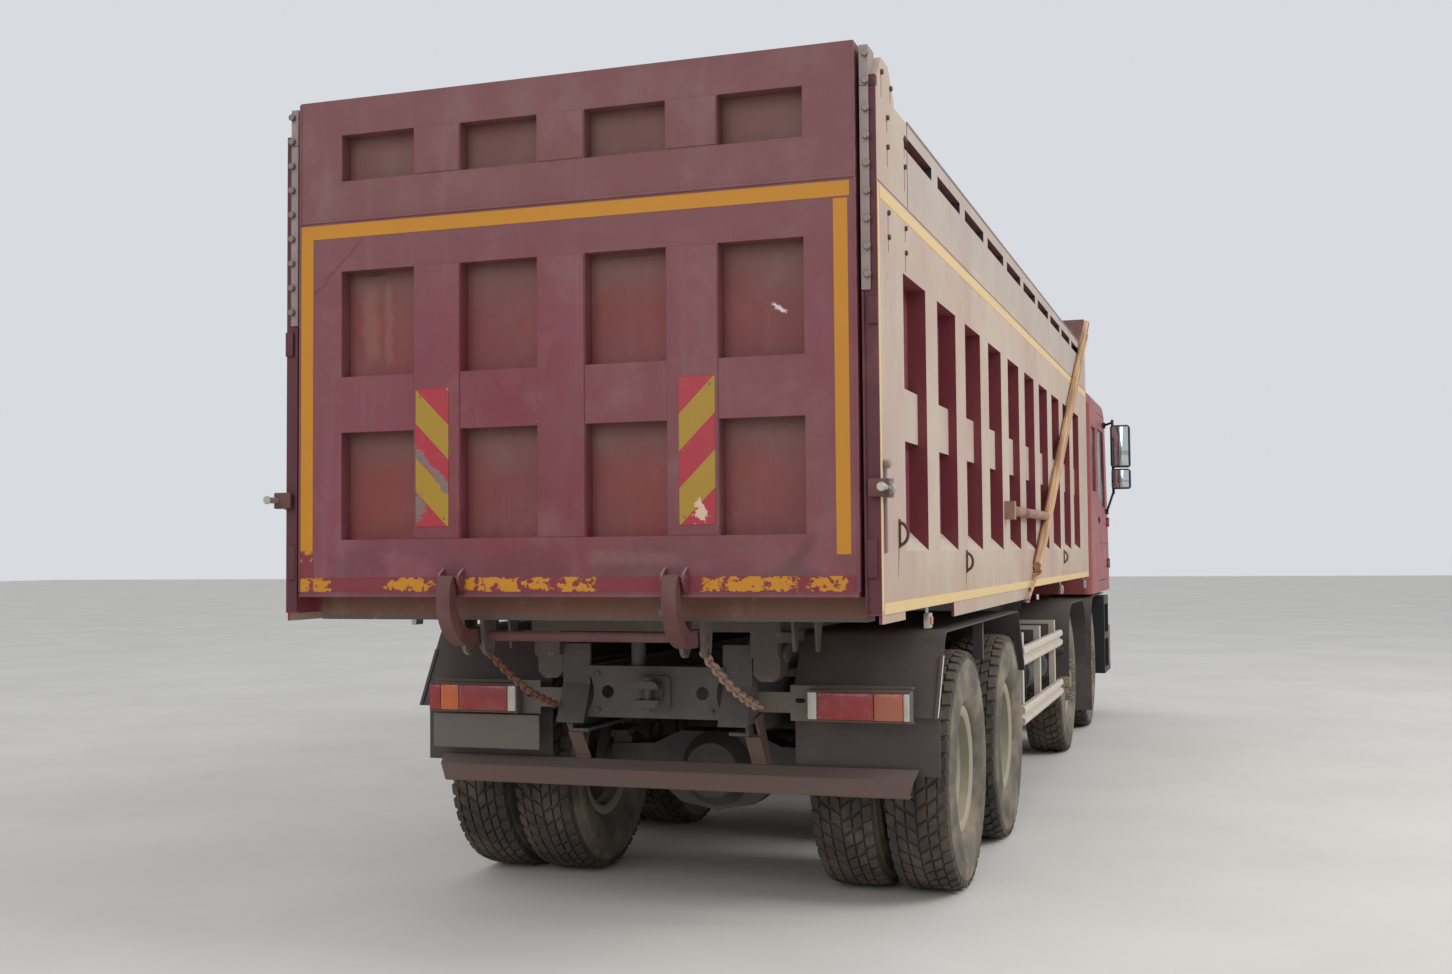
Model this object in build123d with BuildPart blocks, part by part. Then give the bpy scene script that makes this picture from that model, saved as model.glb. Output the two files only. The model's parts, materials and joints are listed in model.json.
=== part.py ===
from build123d import *
import os
from math import atan2, cos, hypot, sin, tan

# Four-axle dump truck: two steered axles, two driven axles on twin wheels, a ribbed steel
# body hinged at the rear, a top-hung tailgate and a tilting cab.
# Millimetres. +X is forward, +Y is the left side, +Z is up, the ground is z = 0.

os.makedirs("parts", exist_ok=True)

# Places along the truck, from the rear face of the tailgate
GATE_FACE = -5125.0
REAR_OVERHANG = 1900.0
BOGIE_SPREAD = 1350.0
AXLE_GAP = 3775.0
FRONT_SPREAD = 1800.0
FRONT_OVERHANG = 1475.0
AXLE_4 = GATE_FACE + REAR_OVERHANG
AXLE_3 = AXLE_4 + BOGIE_SPREAD
AXLE_2 = AXLE_3 + AXLE_GAP
AXLE_1 = AXLE_2 + FRONT_SPREAD
BUMPER_FACE = AXLE_1 + FRONT_OVERHANG

# Running clearances
SEAT = 0.2
BORE_FIT = 0.05
BODY_GAP = 6.0

# Wheels and tyres
TYRE_R = 562.5
TYRE_W = 315.0
TREAD_W = 250.0
RIM_R = 258.0
RIM_W = 230.0
RIM_LIP_R = 296.0
RIM_WALL = 10.0
RIM_LIP_T = 12.0
WHEEL_Z = TYRE_R
FRONT_WHEEL_Y = 1015.0
TWIN_OUTER_Y = 1086.0
TWIN_SPACING = 345.0
TWIN_INNER_Y = TWIN_OUTER_Y - TWIN_SPACING
TWIN_MID_Y = (TWIN_OUTER_Y + TWIN_INNER_Y) / 2
SPINDLE_R = 45.0
KINGPIN_Y = 850.0
KINGPIN_R = 24.0
KINGPIN_EYE_R = 42.0
KINGPIN_EYE_H = 120.0
STEER_SWEEP = 655.0

# Frame
RAIL_TOP = 1095.0
RAIL_H = 300.0
RAIL_Y = 425.0
RAIL_FLANGE = 90.0
RAIL_T = 14.0
RAIL_BOTTOM = RAIL_TOP - RAIL_H
FRAME_REAR = GATE_FACE + 1000.0
FRAME_FRONT = BUMPER_FACE - 170.0

# Rear hinge of the body
HINGE_X = GATE_FACE + 1050.0
HINGE_Z = 1157.0
HINGE_PIN_R = 25.0
HINGE_LUG_Y = 452.0
HINGE_LUG_T = 123.0
HINGE_LUG_DROP = 122.0

# Body
BODY_Y = 1250.0
WALL_Y = 1165.0
SILL_BOTTOM = 1365.0
FLOOR_TOP = 1445.0
FLOOR_T = 10.0
SIDE_REAR = GATE_FACE + 20.0
SIDE_FRONT = GATE_FACE + 7930.0
SEAM_Z = 2950.0
SIDEBOARD_TOP = 3295.0
HEADBOARD_TOP = 3560.0
HEADBOARD_T = 60.0
BEAM_Y = 410.0
BEAM_W = 90.0
BEAM_BOTTOM = RAIL_TOP + BODY_GAP

# Ribs and bays of the sides
RIB_DEPTH = 77.0
MID_RAIL_DEPTH = 39.0
FIRST_BAY = GATE_FACE + 455.0
BAY_L = 445.0
RIB_W = 260.0
BAY_COUNT = 10
BAY_TOP = 2680.0
BAY_BOTTOM = 1598.0
MID_RAIL_TOP = 2247.0
MID_RAIL_BOTTOM = 2036.0
SLOT_TOP = 3240.0
SLOT_BOTTOM = 3185.0
SLOT_DEPTH = 40.0

# Tailgate
GATE_Y = 1172.0
GATE_T = 140.0
GATE_BOTTOM = 1430.0
GATE_SEAM = 2961.0
GATE_TOP = 3465.0
GATE_RECESS = 67.0
GATE_PIN_X = GATE_FACE + 170.0
GATE_PIN_Z = 3370.0
GATE_PIN_R = 16.0
POST_Y = 1189.0

# Cab
CAB_REAR = GATE_FACE + 8330.0
CAB_FRONT = BUMPER_FACE - 60.0
CAB_Y = 1240.0
CAB_BOTTOM = 1200.0
CAB_TOP = 3000.0
CAB_WALL = 50.0
CAB_FLOOR = 1290.0
CAB_PIVOT_X = BUMPER_FACE - 200.0
CAB_PIVOT_Z = 800.0
DOOR_REAR = GATE_FACE + 9020.0
DOOR_FRONT = GATE_FACE + 9965.0
DOOR_BOTTOM = 1310.0
DOOR_TOP = 2860.0
DOOR_KNEE = 2000.0
DOOR_TOP_FRONT = DOOR_FRONT - 170.0
DOOR_HINGES = (1460.0, 1860.0)
DOOR_GAP = 6.0
HINGE_OUT = 14.0

# Hoist between cab and body
HOIST_X = GATE_FACE + 8130.0
HOIST_Z = 1160.0
HOIST_TOP_X = GATE_FACE + 8075.0
HOIST_TOP_Z = 2900.0
HOIST_R = 105.0
DOGHOUSE_Y = 190.0


def slab(x0, x1, y0, y1, z0, z1, mode=Mode.ADD):
    """A plain plate or bar between two corners."""
    with Locations(((x0 + x1) / 2, (y0 + y1) / 2, (z0 + z1) / 2)):
        Box(abs(x1 - x0), abs(y1 - y0), abs(z1 - z0), mode=mode)


def side_plate(points, y0, y1, mode=Mode.ADD):
    """A plate whose outline is drawn in side view, (x, z), between two widths."""
    low, high = sorted((y0, y1))
    with BuildSketch(Plane.XZ.offset(-high)) as outline:
        with BuildLine():
            Polyline(*points, close=True)
        make_face()
    extrude(outline.sketch, amount=high - low, mode=mode)


def end_plate(points, x0, x1, mode=Mode.ADD):
    """A plate whose outline is drawn in end view, (y, z), between two lengths."""
    with BuildSketch(Plane.YZ.offset(x0)) as outline:
        with BuildLine():
            Polyline(*points, close=True)
        make_face()
    extrude(outline.sketch, amount=x1 - x0, mode=mode)


def bar_y(x, z, radius, y0, y1, mode=Mode.ADD):
    """A round bar across the truck."""
    low, high = sorted((y0, y1))
    with BuildSketch(Plane.XZ.offset(-high)) as outline:
        with Locations((x, z)):
            Circle(radius)
    extrude(outline.sketch, amount=high - low, mode=mode)


def bar_x(y, z, radius, x0, x1, mode=Mode.ADD):
    """A round bar along the truck."""
    with BuildSketch(Plane.YZ.offset(x0)) as outline:
        with Locations((y, z)):
            Circle(radius)
    extrude(outline.sketch, amount=x1 - x0, mode=mode)


def bar_z(x, y, radius, z0, z1, mode=Mode.ADD):
    """An upright round bar."""
    with BuildSketch(Plane.XY.offset(z0)) as outline:
        with Locations((x, y)):
            Circle(radius)
    extrude(outline.sketch, amount=z1 - z0, mode=mode)


def folded_sheet(points, bend, thickness, y0, y1):
    """A sheet folded with round bends along a line drawn in side view, between two widths."""
    low, high = sorted((y0, y1))
    with BuildSketch(Plane.XZ.offset(-high)) as outline:
        with BuildLine():
            FilletPolyline(*points, radius=bend)
        trace(line_width=thickness)
    extrude(outline.sketch, amount=high - low)


def rod(start, end, radius, mode=Mode.ADD):
    """A round bar between any two points."""
    axis = Vector(*end) - Vector(*start)
    with BuildSketch(Plane(origin=start, z_dir=axis)) as outline:
        Circle(radius)
    extrude(outline.sketch, amount=axis.length, mode=mode)


def save(builder, name):
    """Label a finished piece and write it."""
    builder.part.label = name
    export_step(builder.part, f"parts/{name}.step")


# Frame rails: two channels, open towards the middle
with BuildPart() as frame_rails:
    with BuildSketch(Plane.YZ.offset(FRAME_REAR)):
        with Locations((RAIL_Y - RAIL_FLANGE / 2, RAIL_TOP - RAIL_H / 2)):
            Rectangle(RAIL_FLANGE, RAIL_H)
        with Locations((RAIL_Y - RAIL_T - RAIL_FLANGE / 2, RAIL_TOP - RAIL_H / 2)):
            Rectangle(RAIL_FLANGE, RAIL_H - 2 * RAIL_T, mode=Mode.SUBTRACT)
        mirror(about=Plane.YZ)
    extrude(amount=FRAME_FRONT - FRAME_REAR)
save(frame_rails, "frame_rails")

# Crossmembers between the rails' webs: place, depth, top
WEB_Y = RAIL_Y - RAIL_T
CROSS_W = 120.0
CROSSMEMBERS = [
    ("behind the tandem", AXLE_4 - 420, 160, RAIL_TOP - 60),
    ("over the tandem", (AXLE_3 + AXLE_4) / 2, 230, RAIL_TOP - 30),
    ("ahead of the tandem", AXLE_3 + 900, 160, RAIL_TOP - 60),
    ("middle", AXLE_3 + 2100, 160, RAIL_TOP - 60),
    ("behind axle 2", AXLE_2 - 450, 160, RAIL_TOP - 60),
    ("under the hoist", HOIST_X, 140, RAIL_TOP - 145),
    ("front", FRAME_FRONT - 130, 120, RAIL_BOTTOM + 160),
]
with BuildPart() as crossmembers:
    for place, cross_x, depth, top in CROSSMEMBERS:
        with BuildSketch(Plane.XZ.offset(-WEB_Y)):
            with Locations((cross_x, top - depth / 2)):
                Rectangle(CROSS_W, depth)
            with Locations((cross_x + RAIL_T, top - depth / 2)):
                Rectangle(CROSS_W, depth - 2 * RAIL_T, mode=Mode.SUBTRACT)
        extrude(amount=2 * WEB_Y)
    # Bearings that carry the hoist's trunnions
    for side in (1, -1):
        side_plate(
            [
                (HOIST_X - 58, RAIL_TOP - 145),
                (HOIST_X + 58, RAIL_TOP - 145),
                (HOIST_X + 50, HOIST_Z + 30),
                (HOIST_X + 30, HOIST_Z + 50),
                (HOIST_X - 30, HOIST_Z + 50),
                (HOIST_X - 50, HOIST_Z + 30),
            ],
            side * (HOIST_R + 20),
            side * (HOIST_R + 45),
        )
    bar_y(HOIST_X, HOIST_Z, 30 + BORE_FIT, -HOIST_R - 60, HOIST_R + 60, mode=Mode.SUBTRACT)
    # tilt pins of the cab
    for side in (1, -1):
        side_plate(
            [
                (FRAME_FRONT - 60, 860), (CAB_PIVOT_X + 34, 840), (CAB_PIVOT_X + 34, 760),
                (FRAME_FRONT - 60, 720),
            ],
            side * (RAIL_Y + 20),
            side * 492,
        )
        bar_y(CAB_PIVOT_X, CAB_PIVOT_Z, 20, side * 480, side * 545)
save(crossmembers, "crossmembers")

# Rear crossmember with the tow coupling and the brackets that hold the body's hinge pin
TOW_Z = 980.0
END_Y = 325.0
WAIST_Y = 292.0
CROSS_BOTTOM = 866.0
PLATE_REAR = FRAME_REAR - 32
PLATE_T = 14.0
with BuildPart() as rear_crossmember:
    # the plate is drawn in at both ends between its flanges
    with BuildSketch(Plane.YZ.offset(PLATE_REAR)):
        with BuildLine():
            for side in (1, -1):
                Line((side * END_Y, CROSS_BOTTOM), (side * END_Y, CROSS_BOTTOM + 22))
                ThreePointArc(
                    (side * END_Y, CROSS_BOTTOM + 22), (side * WAIST_Y, (CROSS_BOTTOM + RAIL_TOP) / 2),
                    (side * END_Y, RAIL_TOP - 22),
                )
                Line((side * END_Y, RAIL_TOP - 22), (side * END_Y, RAIL_TOP))
            Line((-END_Y, CROSS_BOTTOM), (END_Y, CROSS_BOTTOM))
            Line((-END_Y, RAIL_TOP), (END_Y, RAIL_TOP))
        make_face()
    extrude(amount=PLATE_T)
    slab(PLATE_REAR, FRAME_REAR + 60, -END_Y, END_Y, RAIL_TOP - RAIL_T, RAIL_TOP)
    slab(PLATE_REAR, FRAME_REAR + 60, -END_Y, END_Y, CROSS_BOTTOM, CROSS_BOTTOM + RAIL_T)
    # stop buffer on the plate's upper flange
    bar_z(FRAME_REAR + 22, 96, 33, RAIL_TOP - 2, RAIL_TOP + 104)
    for side in (1, -1):
        bar_x(side * 225, TOW_Z, 29, FRAME_REAR - 40, FRAME_REAR - 10, mode=Mode.SUBTRACT)
        # end plate across the rail's end: it leans out to the rear at its foot
        side_plate(
            [
                (FRAME_REAR - 18, 1192), (FRAME_REAR - SEAT, 1192), (FRAME_REAR - SEAT, 1010),
                (FRAME_REAR - 84, 845), (FRAME_REAR - 100, 845), (FRAME_REAR - 18, 1012),
            ],
            side * (END_Y - 9),
            side * (HINGE_LUG_Y - 4),
        )
        side_plate(
            [
                (FRAME_REAR - SEAT, 1060), (FRAME_REAR - 90, 852), (FRAME_REAR + 20, 852),
                (FRAME_REAR + 20, 1060),
            ],
            side * (RAIL_Y + SEAT),
            side * (HINGE_LUG_Y - 4),
        )
        side_plate(
            [
                (FRAME_REAR - 18, 1140),
                (FRAME_REAR - 18, 850),
                (FRAME_REAR + 120, 900),
                (FRAME_REAR + 130, HINGE_Z),
                (HINGE_X + 60, HINGE_Z + 40),
                (HINGE_X + 25, HINGE_Z + 66),
                (HINGE_X - 25, HINGE_Z + 66),
                (HINGE_X - 55, HINGE_Z + 40),
            ],
            side * (RAIL_Y + SEAT),
            side * (HINGE_LUG_Y - 4),
        )
        bar_y(HINGE_X, HINGE_Z, HINGE_PIN_R, side * (RAIL_Y - 60), side * (HINGE_LUG_Y + HINGE_LUG_T + 22))
        bar_y(
            HINGE_X,
            HINGE_Z,
            HINGE_PIN_R + 18,
            side * (HINGE_LUG_Y + HINGE_LUG_T + 4),
            side * (HINGE_LUG_Y + HINGE_LUG_T + 22),
        )
    # coupling: a base plate and a flared mouth with an upright pin in its jaw
    with BuildSketch(Plane.YZ.offset(PLATE_REAR - 16)):
        with Locations((0, TOW_Z)):
            RectangleRounded(160, 150, 22)
    extrude(amount=17)
    with BuildSketch(Plane.YZ.offset(PLATE_REAR - 15)):
        with Locations((0, TOW_Z)):
            RectangleRounded(96, 92, 20)
    extrude(amount=-100, taper=-7)
    slab(PLATE_REAR - 130, PLATE_REAR - 45, -70, 70, TOW_Z - 24, TOW_Z + 24, mode=Mode.SUBTRACT)
    bar_z(PLATE_REAR - 82, 0, 15, TOW_Z - 72, TOW_Z + 78)
    bar_z(PLATE_REAR - 82, 0, 24, TOW_Z + 60, TOW_Z + 74)
save(rear_crossmember, "rear_crossmember")

# Underrun bar, a channel on two slanting legs
BAR_X = GATE_FACE + 1090.0
BAR_Y = 1155.0
BAR_TOP = 656.0
BAR_BOTTOM = 536.0
with BuildPart() as underrun_bar:
    # a folded section: upper face sloping back, upright rear face, lower flange
    folded_sheet(
        [
            (BAR_X + 63, BAR_TOP - 4), (BAR_X + 52, BAR_TOP - 4), (BAR_X + 4, BAR_TOP - 43),
            (BAR_X + 4, BAR_BOTTOM + 4), (BAR_X + 63, BAR_BOTTOM + 4),
        ],
        5, 8, -BAR_Y, BAR_Y,
    )
    # the bar's ends are cut on a slant
    for side in (1, -1):
        end_plate(
            [
                (side * (BAR_Y + 1), BAR_TOP + 1), (side * (BAR_Y - 8), BAR_TOP + 1),
                (side * (BAR_Y - 46), BAR_BOTTOM - 1), (side * (BAR_Y + 1), BAR_BOTTOM - 1),
            ],
            BAR_X - 1,
            BAR_X + 70,
            mode=Mode.SUBTRACT,
        )
        # legs: a web with a flange folded along its rear edge
        side_plate(
            [
                (FRAME_REAR + 10, 872),
                (FRAME_REAR + 95, 892),
                (BAR_X + 60 + 110, BAR_TOP - 60),
                (BAR_X + 60, BAR_BOTTOM + 20),
                (BAR_X + 60, BAR_TOP + 10),
            ],
            side * (HINGE_LUG_Y - 4 + SEAT),
            side * (HINGE_LUG_Y + 8),
        )
        side_plate(
            [
                (FRAME_REAR + 56, 785), (FRAME_REAR + 66, 785), (BAR_X + 68, BAR_TOP + 10),
                (BAR_X + 68, BAR_BOTTOM + 20), (BAR_X + 60, BAR_BOTTOM + 20), (BAR_X + 60, BAR_TOP + 8),
            ],
            side * (HINGE_LUG_Y - 62),
            side * (HINGE_LUG_Y + 8),
        )
save(underrun_bar, "underrun_bar")

# Lamp housings: tail lamps on their bracket arms, headlamps in the bumper
LAMP_X = GATE_FACE + 1000.0
LAMP_IN_Y = 690.0
LAMP_OUT_Y = 1142.0
LAMP_TOP = 1000.0
LAMP_BOTTOM = 872.0
ARM_NECK_Y = 600.0
ARM_TOP = 1016.0
with BuildPart() as lamps:
    for side in (1, -1):
        slab(LAMP_X, LAMP_X + 58, side * LAMP_IN_Y, side * LAMP_OUT_Y, LAMP_BOTTOM, LAMP_TOP)
    fillet(lamps.edges().filter_by(Axis.X), radius=8)
    # bracket arm: a folded channel behind each lamp, necked down below the hinge
    for side in (1, -1):
        slab(LAMP_X + 58, LAMP_X + 64, side * ARM_NECK_Y, side * LAMP_OUT_Y, 862, ARM_TOP)
        slab(LAMP_X + 58, LAMP_X + 98, side * ARM_NECK_Y, side * LAMP_OUT_Y, ARM_TOP - 6, ARM_TOP)
        slab(LAMP_X + 58, LAMP_X + 98, side * ARM_NECK_Y, side * LAMP_OUT_Y, 862, 868)
        slab(LAMP_X + 58, LAMP_X + 66, side * (RAIL_Y + 24), side * (ARM_NECK_Y + 10), 896, 985)
        slab(LAMP_X + 66, LAMP_X + 110, side * (HINGE_LUG_Y - 4 + SEAT), side * (HINGE_LUG_Y + 4), 900, 985)
        with BuildSketch(Plane.YZ.offset(LAMP_X + 50)) as slot:
            with Locations((side * 645, 950)):
                SlotOverall(46, 20)
        extrude(slot.sketch, amount=20, mode=Mode.SUBTRACT)
    # headlamp units in the bumper's pockets
    for side in (1, -1):
        slab(BUMPER_FACE - 118, BUMPER_FACE - 46, side * (760 + SEAT), side * (1090 - SEAT), 590 + SEAT, 790 - SEAT)
save(lamps, "lamps")

# Driven axles: a banjo housing, square arms and spindle tubes for the twin wheels
ARM_Y = 560.0
BEAM_T = 90.0
EYE_LOW = WHEEL_Z - KINGPIN_EYE_H / 2
EYE_HIGH = WHEEL_Z + KINGPIN_EYE_H / 2
with BuildPart() as axle_beams:
    for axle_x in (AXLE_3, AXLE_4):
        with BuildSketch(Plane.YZ.offset(axle_x - 90)):
            with BuildLine():
                Polyline(
                    (-ARM_Y, WHEEL_Z - 75), (-330, WHEEL_Z - 85), (-190, WHEEL_Z - 200),
                    (0, WHEEL_Z - 235), (190, WHEEL_Z - 200), (330, WHEEL_Z - 85),
                    (ARM_Y, WHEEL_Z - 75), (ARM_Y, WHEEL_Z + 75), (330, WHEEL_Z + 85),
                    (190, WHEEL_Z + 150), (-190, WHEEL_Z + 150), (-330, WHEEL_Z + 85),
                    (-ARM_Y, WHEEL_Z + 75), close=True,
                )
            make_face()
        extrude(amount=180)
        # differential cover at the rear, pinion nose at the front
        with BuildSketch(Plane.YZ.offset(axle_x - 90)):
            with Locations((0, WHEEL_Z - 30)):
                Circle(185)
        extrude(amount=-90, taper=30)
        with BuildSketch(Plane.YZ.offset(axle_x + 90)):
            with Locations((0, WHEEL_Z + 10)):
                Circle(150)
        extrude(amount=190, taper=18)
        bar_y(axle_x, WHEEL_Z, 72, -TWIN_INNER_Y + 110, TWIN_INNER_Y - 110)
        bar_y(axle_x, WHEEL_Z, SPINDLE_R, -TWIN_MID_Y - 60, TWIN_MID_Y + 60)
        for side in (1, -1):
            slab(axle_x - 75, axle_x + 75, side * 462, side * 558, WHEEL_Z + 60, WHEEL_Z + 112)
            bar_y(axle_x, WHEEL_Z, 185, side * (TWIN_INNER_Y - 145), side * (TWIN_INNER_Y - 133))
    # steered axle beams: forged I-beams, dropped in the middle, with an eye at each end
    for axle_x in (AXLE_1, AXLE_2):
        end_plate(
            [
                (-800, EYE_LOW), (-720, EYE_LOW), (-500, 430), (500, 430), (720, EYE_LOW),
                (800, EYE_LOW), (KINGPIN_Y, EYE_LOW), (KINGPIN_Y, EYE_HIGH), (740, EYE_HIGH),
                (490, 545), (-490, 545), (-740, EYE_HIGH), (-KINGPIN_Y, EYE_HIGH),
                (-KINGPIN_Y, EYE_LOW),
            ],
            axle_x - BEAM_T / 2 + 8,
            axle_x + BEAM_T / 2 - 8,
        )
        for face in (1, -1):
            slab(
                axle_x + face * 16, axle_x + face * BEAM_T, -470, 470, 452, 523,
                mode=Mode.SUBTRACT,
            )
        for side in (1, -1):
            bar_z(axle_x, side * KINGPIN_Y, KINGPIN_EYE_R, EYE_LOW, EYE_HIGH)
            bar_z(
                axle_x, side * KINGPIN_Y, KINGPIN_R + BORE_FIT, EYE_LOW - 5, EYE_HIGH + 5,
                mode=Mode.SUBTRACT,
            )
            slab(axle_x - 70, axle_x + 70, side * 340, side * 420, 530, 560)
save(axle_beams, "axle_beams")

# Springs: the tandem's pair with saddles on one cross shaft, and four in front
BOGIE_X = (AXLE_3 + AXLE_4) / 2
FRONT_SPRING_HALF = 640.0
PAD_Z = WHEEL_Z + 112 + SEAT
SPRING_TOP = 850.0
BOGIE_SHAFT_Z = 690.0
with BuildPart() as leaf_springs:
    for side in (1, -1):
        # leaves: half length, bottom and top at the middle
        for half, low, high in [
            (BOGIE_SPREAD / 2 + 120, 0, 34),
            (BOGIE_SPREAD / 2 - 60, 34, 62),
            (BOGIE_SPREAD / 2 - 220, 62, 90),
            (BOGIE_SPREAD / 2 - 380, 90, 118),
        ]:
            rise = SPRING_TOP - 118
            drop = (rise - PAD_Z) * (half / (BOGIE_SPREAD / 2 + 120))
            side_plate(
                [
                    (BOGIE_X - half, rise + low - drop),
                    (BOGIE_X - 110, rise + low),
                    (BOGIE_X + 110, rise + low),
                    (BOGIE_X + half, rise + low - drop),
                    (BOGIE_X + half, rise + high - drop),
                    (BOGIE_X + 110, rise + high),
                    (BOGIE_X - 110, rise + high),
                    (BOGIE_X - half, rise + high - drop),
                ],
                side * 465,
                side * 555,
            )
        side_plate(
            [
                (BOGIE_X - 120, SPRING_TOP - 118),
                (BOGIE_X - 70, 600),
                (BOGIE_X + 70, 600),
                (BOGIE_X + 120, SPRING_TOP - 118),
            ],
            side * 470,
            side * 550,
        )
        side_plate(
            [
                (BOGIE_X - 160, RAIL_TOP - 70),
                (BOGIE_X - 90, 590),
                (BOGIE_X, 560),
                (BOGIE_X + 90, 590),
                (BOGIE_X + 160, RAIL_TOP - 70),
            ],
            side * (RAIL_Y + SEAT),
            side * (RAIL_Y + 30),
        )
    bar_y(BOGIE_X, BOGIE_SHAFT_Z, 46, -500, 500)
    # front springs with their brackets under the rails
    for axle_x in (AXLE_1, AXLE_2):
        for side in (1, -1):
            for half, low, high in [
                (FRONT_SPRING_HALF, 60, 84),
                (FRONT_SPRING_HALF - 130, 36, 60),
                (FRONT_SPRING_HALF - 290, 12, 36),
                (FRONT_SPRING_HALF - 430, 0, 12),
            ]:
                rise = 110 * half / FRONT_SPRING_HALF
                base = 560 + SEAT
                side_plate(
                    [
                        (axle_x - half, base + low + rise),
                        (axle_x - 80, base + low),
                        (axle_x + 80, base + low),
                        (axle_x + half, base + low + rise),
                        (axle_x + half, base + high + rise),
                        (axle_x + 80, base + high),
                        (axle_x - 80, base + high),
                        (axle_x - half, base + high + rise),
                    ],
                    side * 342,
                    side * 418,
                )
            for end in (1, -1):
                side_plate(
                    [
                        (axle_x + end * (FRONT_SPRING_HALF - 70), RAIL_BOTTOM - SEAT),
                        (axle_x + end * (FRONT_SPRING_HALF + 60), RAIL_BOTTOM - SEAT),
                        (axle_x + end * (FRONT_SPRING_HALF + 40), 710),
                        (axle_x + end * (FRONT_SPRING_HALF - 30), 710),
                    ],
                    side * 345,
                    side * 415,
                )
save(leaf_springs, "leaf_springs")

# Engine with its gearbox, one plain heavy block each
GEARBOX_L = 780.0
GEARBOX_Z = 620.0
ENGINE_REAR = AXLE_1 - 330
ENGINE_FRONT = AXLE_1 + 900
GEARBOX_REAR = ENGINE_REAR - GEARBOX_L
with BuildPart() as engine:
    end_plate(
        [
            (-200, 590), (200, 590), (310, 780), (320, 1105), (365, 1130), (340, 1420),
            (-340, 1420), (-365, 1130), (-320, 1105), (-310, 780),
        ],
        ENGINE_REAR,
        ENGINE_FRONT,
    )
    slab(ENGINE_FRONT, ENGINE_FRONT + 70, -330, 330, 860, 1400)
    with BuildSketch(Plane.YZ.offset(ENGINE_REAR)):
        with Locations((0, GEARBOX_Z)):
            RectangleRounded(480, 360, 90)
    extrude(amount=-GEARBOX_L, taper=4)
    for side in (1, -1):
        slab(ENGINE_FRONT - 300, ENGINE_FRONT - 180, side * 300, side * (WEB_Y - SEAT), 960, 1010)
        slab(ENGINE_REAR + 120, ENGINE_REAR + 240, side * 300, side * (WEB_Y - SEAT), 960, 1010)
save(engine, "engine")

# Propeller shafts from the gearbox to the driven axles
SHAFT_R = 55.0
with BuildPart() as driveline:
    for start, end in [
        ((GEARBOX_REAR - 15, 0, GEARBOX_Z), (AXLE_3 + 2100, 0, 660)),
        ((AXLE_3 + 2100, 0, 660), (AXLE_3 + 295, 0, WHEEL_Z + 10)),
        ((AXLE_3 - 195, 0, WHEEL_Z - 30), (AXLE_4 + 295, 0, WHEEL_Z + 10)),
    ]:
        rod(start, end, SHAFT_R)
    for flange_x, flange_z in [
        (GEARBOX_REAR - 30 - SEAT, GEARBOX_Z),
        (AXLE_3 + 280 + SEAT, WHEEL_Z + 10),
        (AXLE_3 - 210 - SEAT, WHEEL_Z - 30),
        (AXLE_4 + 280 + SEAT, WHEEL_Z + 10),
    ]:
        bar_x(0, flange_z, SHAFT_R + 20, flange_x, flange_x + 30)
    # centre bearing hung from the middle crossmember
    slab(AXLE_3 + 2075, AXLE_3 + 2125, -120, 120, 600, RAIL_TOP - 60 - 160 - SEAT)
save(driveline, "driveline")

# Fuel tank on the left with its brackets
TANK_REAR = AXLE_3 + 1000
TANK_L = 1300.0
with BuildPart() as fuel_tank:
    slab(TANK_REAR, TANK_REAR + TANK_L, 500, 1120, 500, 1040)
    fillet(fuel_tank.edges().filter_by(Axis.X), radius=70)
    for bracket in (200, TANK_L - 280):
        slab(TANK_REAR + bracket, TANK_REAR + bracket + 80, RAIL_Y + SEAT, 500, 470, 1040)
        slab(TANK_REAR + bracket, TANK_REAR + bracket + 80, RAIL_Y + SEAT, 1100, 470, 500)
        slab(TANK_REAR + bracket + 10, TANK_REAR + bracket + 70, 560, 1060, 1040, 1046)
        slab(TANK_REAR + bracket + 10, TANK_REAR + bracket + 70, 1119, 1126, 560, 980)
    bar_z(TANK_REAR + 240, 900, 48, 1030, 1064)
save(fuel_tank, "fuel_tank")

# Battery box with a ribbed lid, and two air tanks, on the right
BOX_REAR = AXLE_3 + 1000
BOX_L = 640.0
with BuildPart() as battery_box:
    slab(BOX_REAR, BOX_REAR + BOX_L, -1110, -520, 560, 980)
    fillet(battery_box.edges().filter_by(Axis.Z), radius=30)
    for rib in range(6):
        slab(BOX_REAR + 50 + rib * 100, BOX_REAR + 90 + rib * 100, -1118, -1108, 600, 940)
    slab(BOX_REAR + 80, BOX_REAR + BOX_L - 80, -520, -RAIL_Y - SEAT, 860, 900)
save(battery_box, "battery_box")

AIR_REAR = BOX_REAR + BOX_L + 90
with BuildPart() as air_tanks:
    for tank_y in (-700, -1000):
        with BuildSketch(Plane.YZ.offset(AIR_REAR)):
            with Locations((tank_y, 760)):
                Circle(125)
        extrude(amount=980)
    fillet(air_tanks.edges().filter_by(GeomType.CIRCLE), radius=30)
    for strap in (160, 760):
        slab(AIR_REAR + strap, AIR_REAR + strap + 60, -1040, -RAIL_Y - SEAT, 884, 940)
        slab(AIR_REAR + strap, AIR_REAR + strap + 60, -880, -820, 700, 884)
save(air_tanks, "air_tanks")

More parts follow.
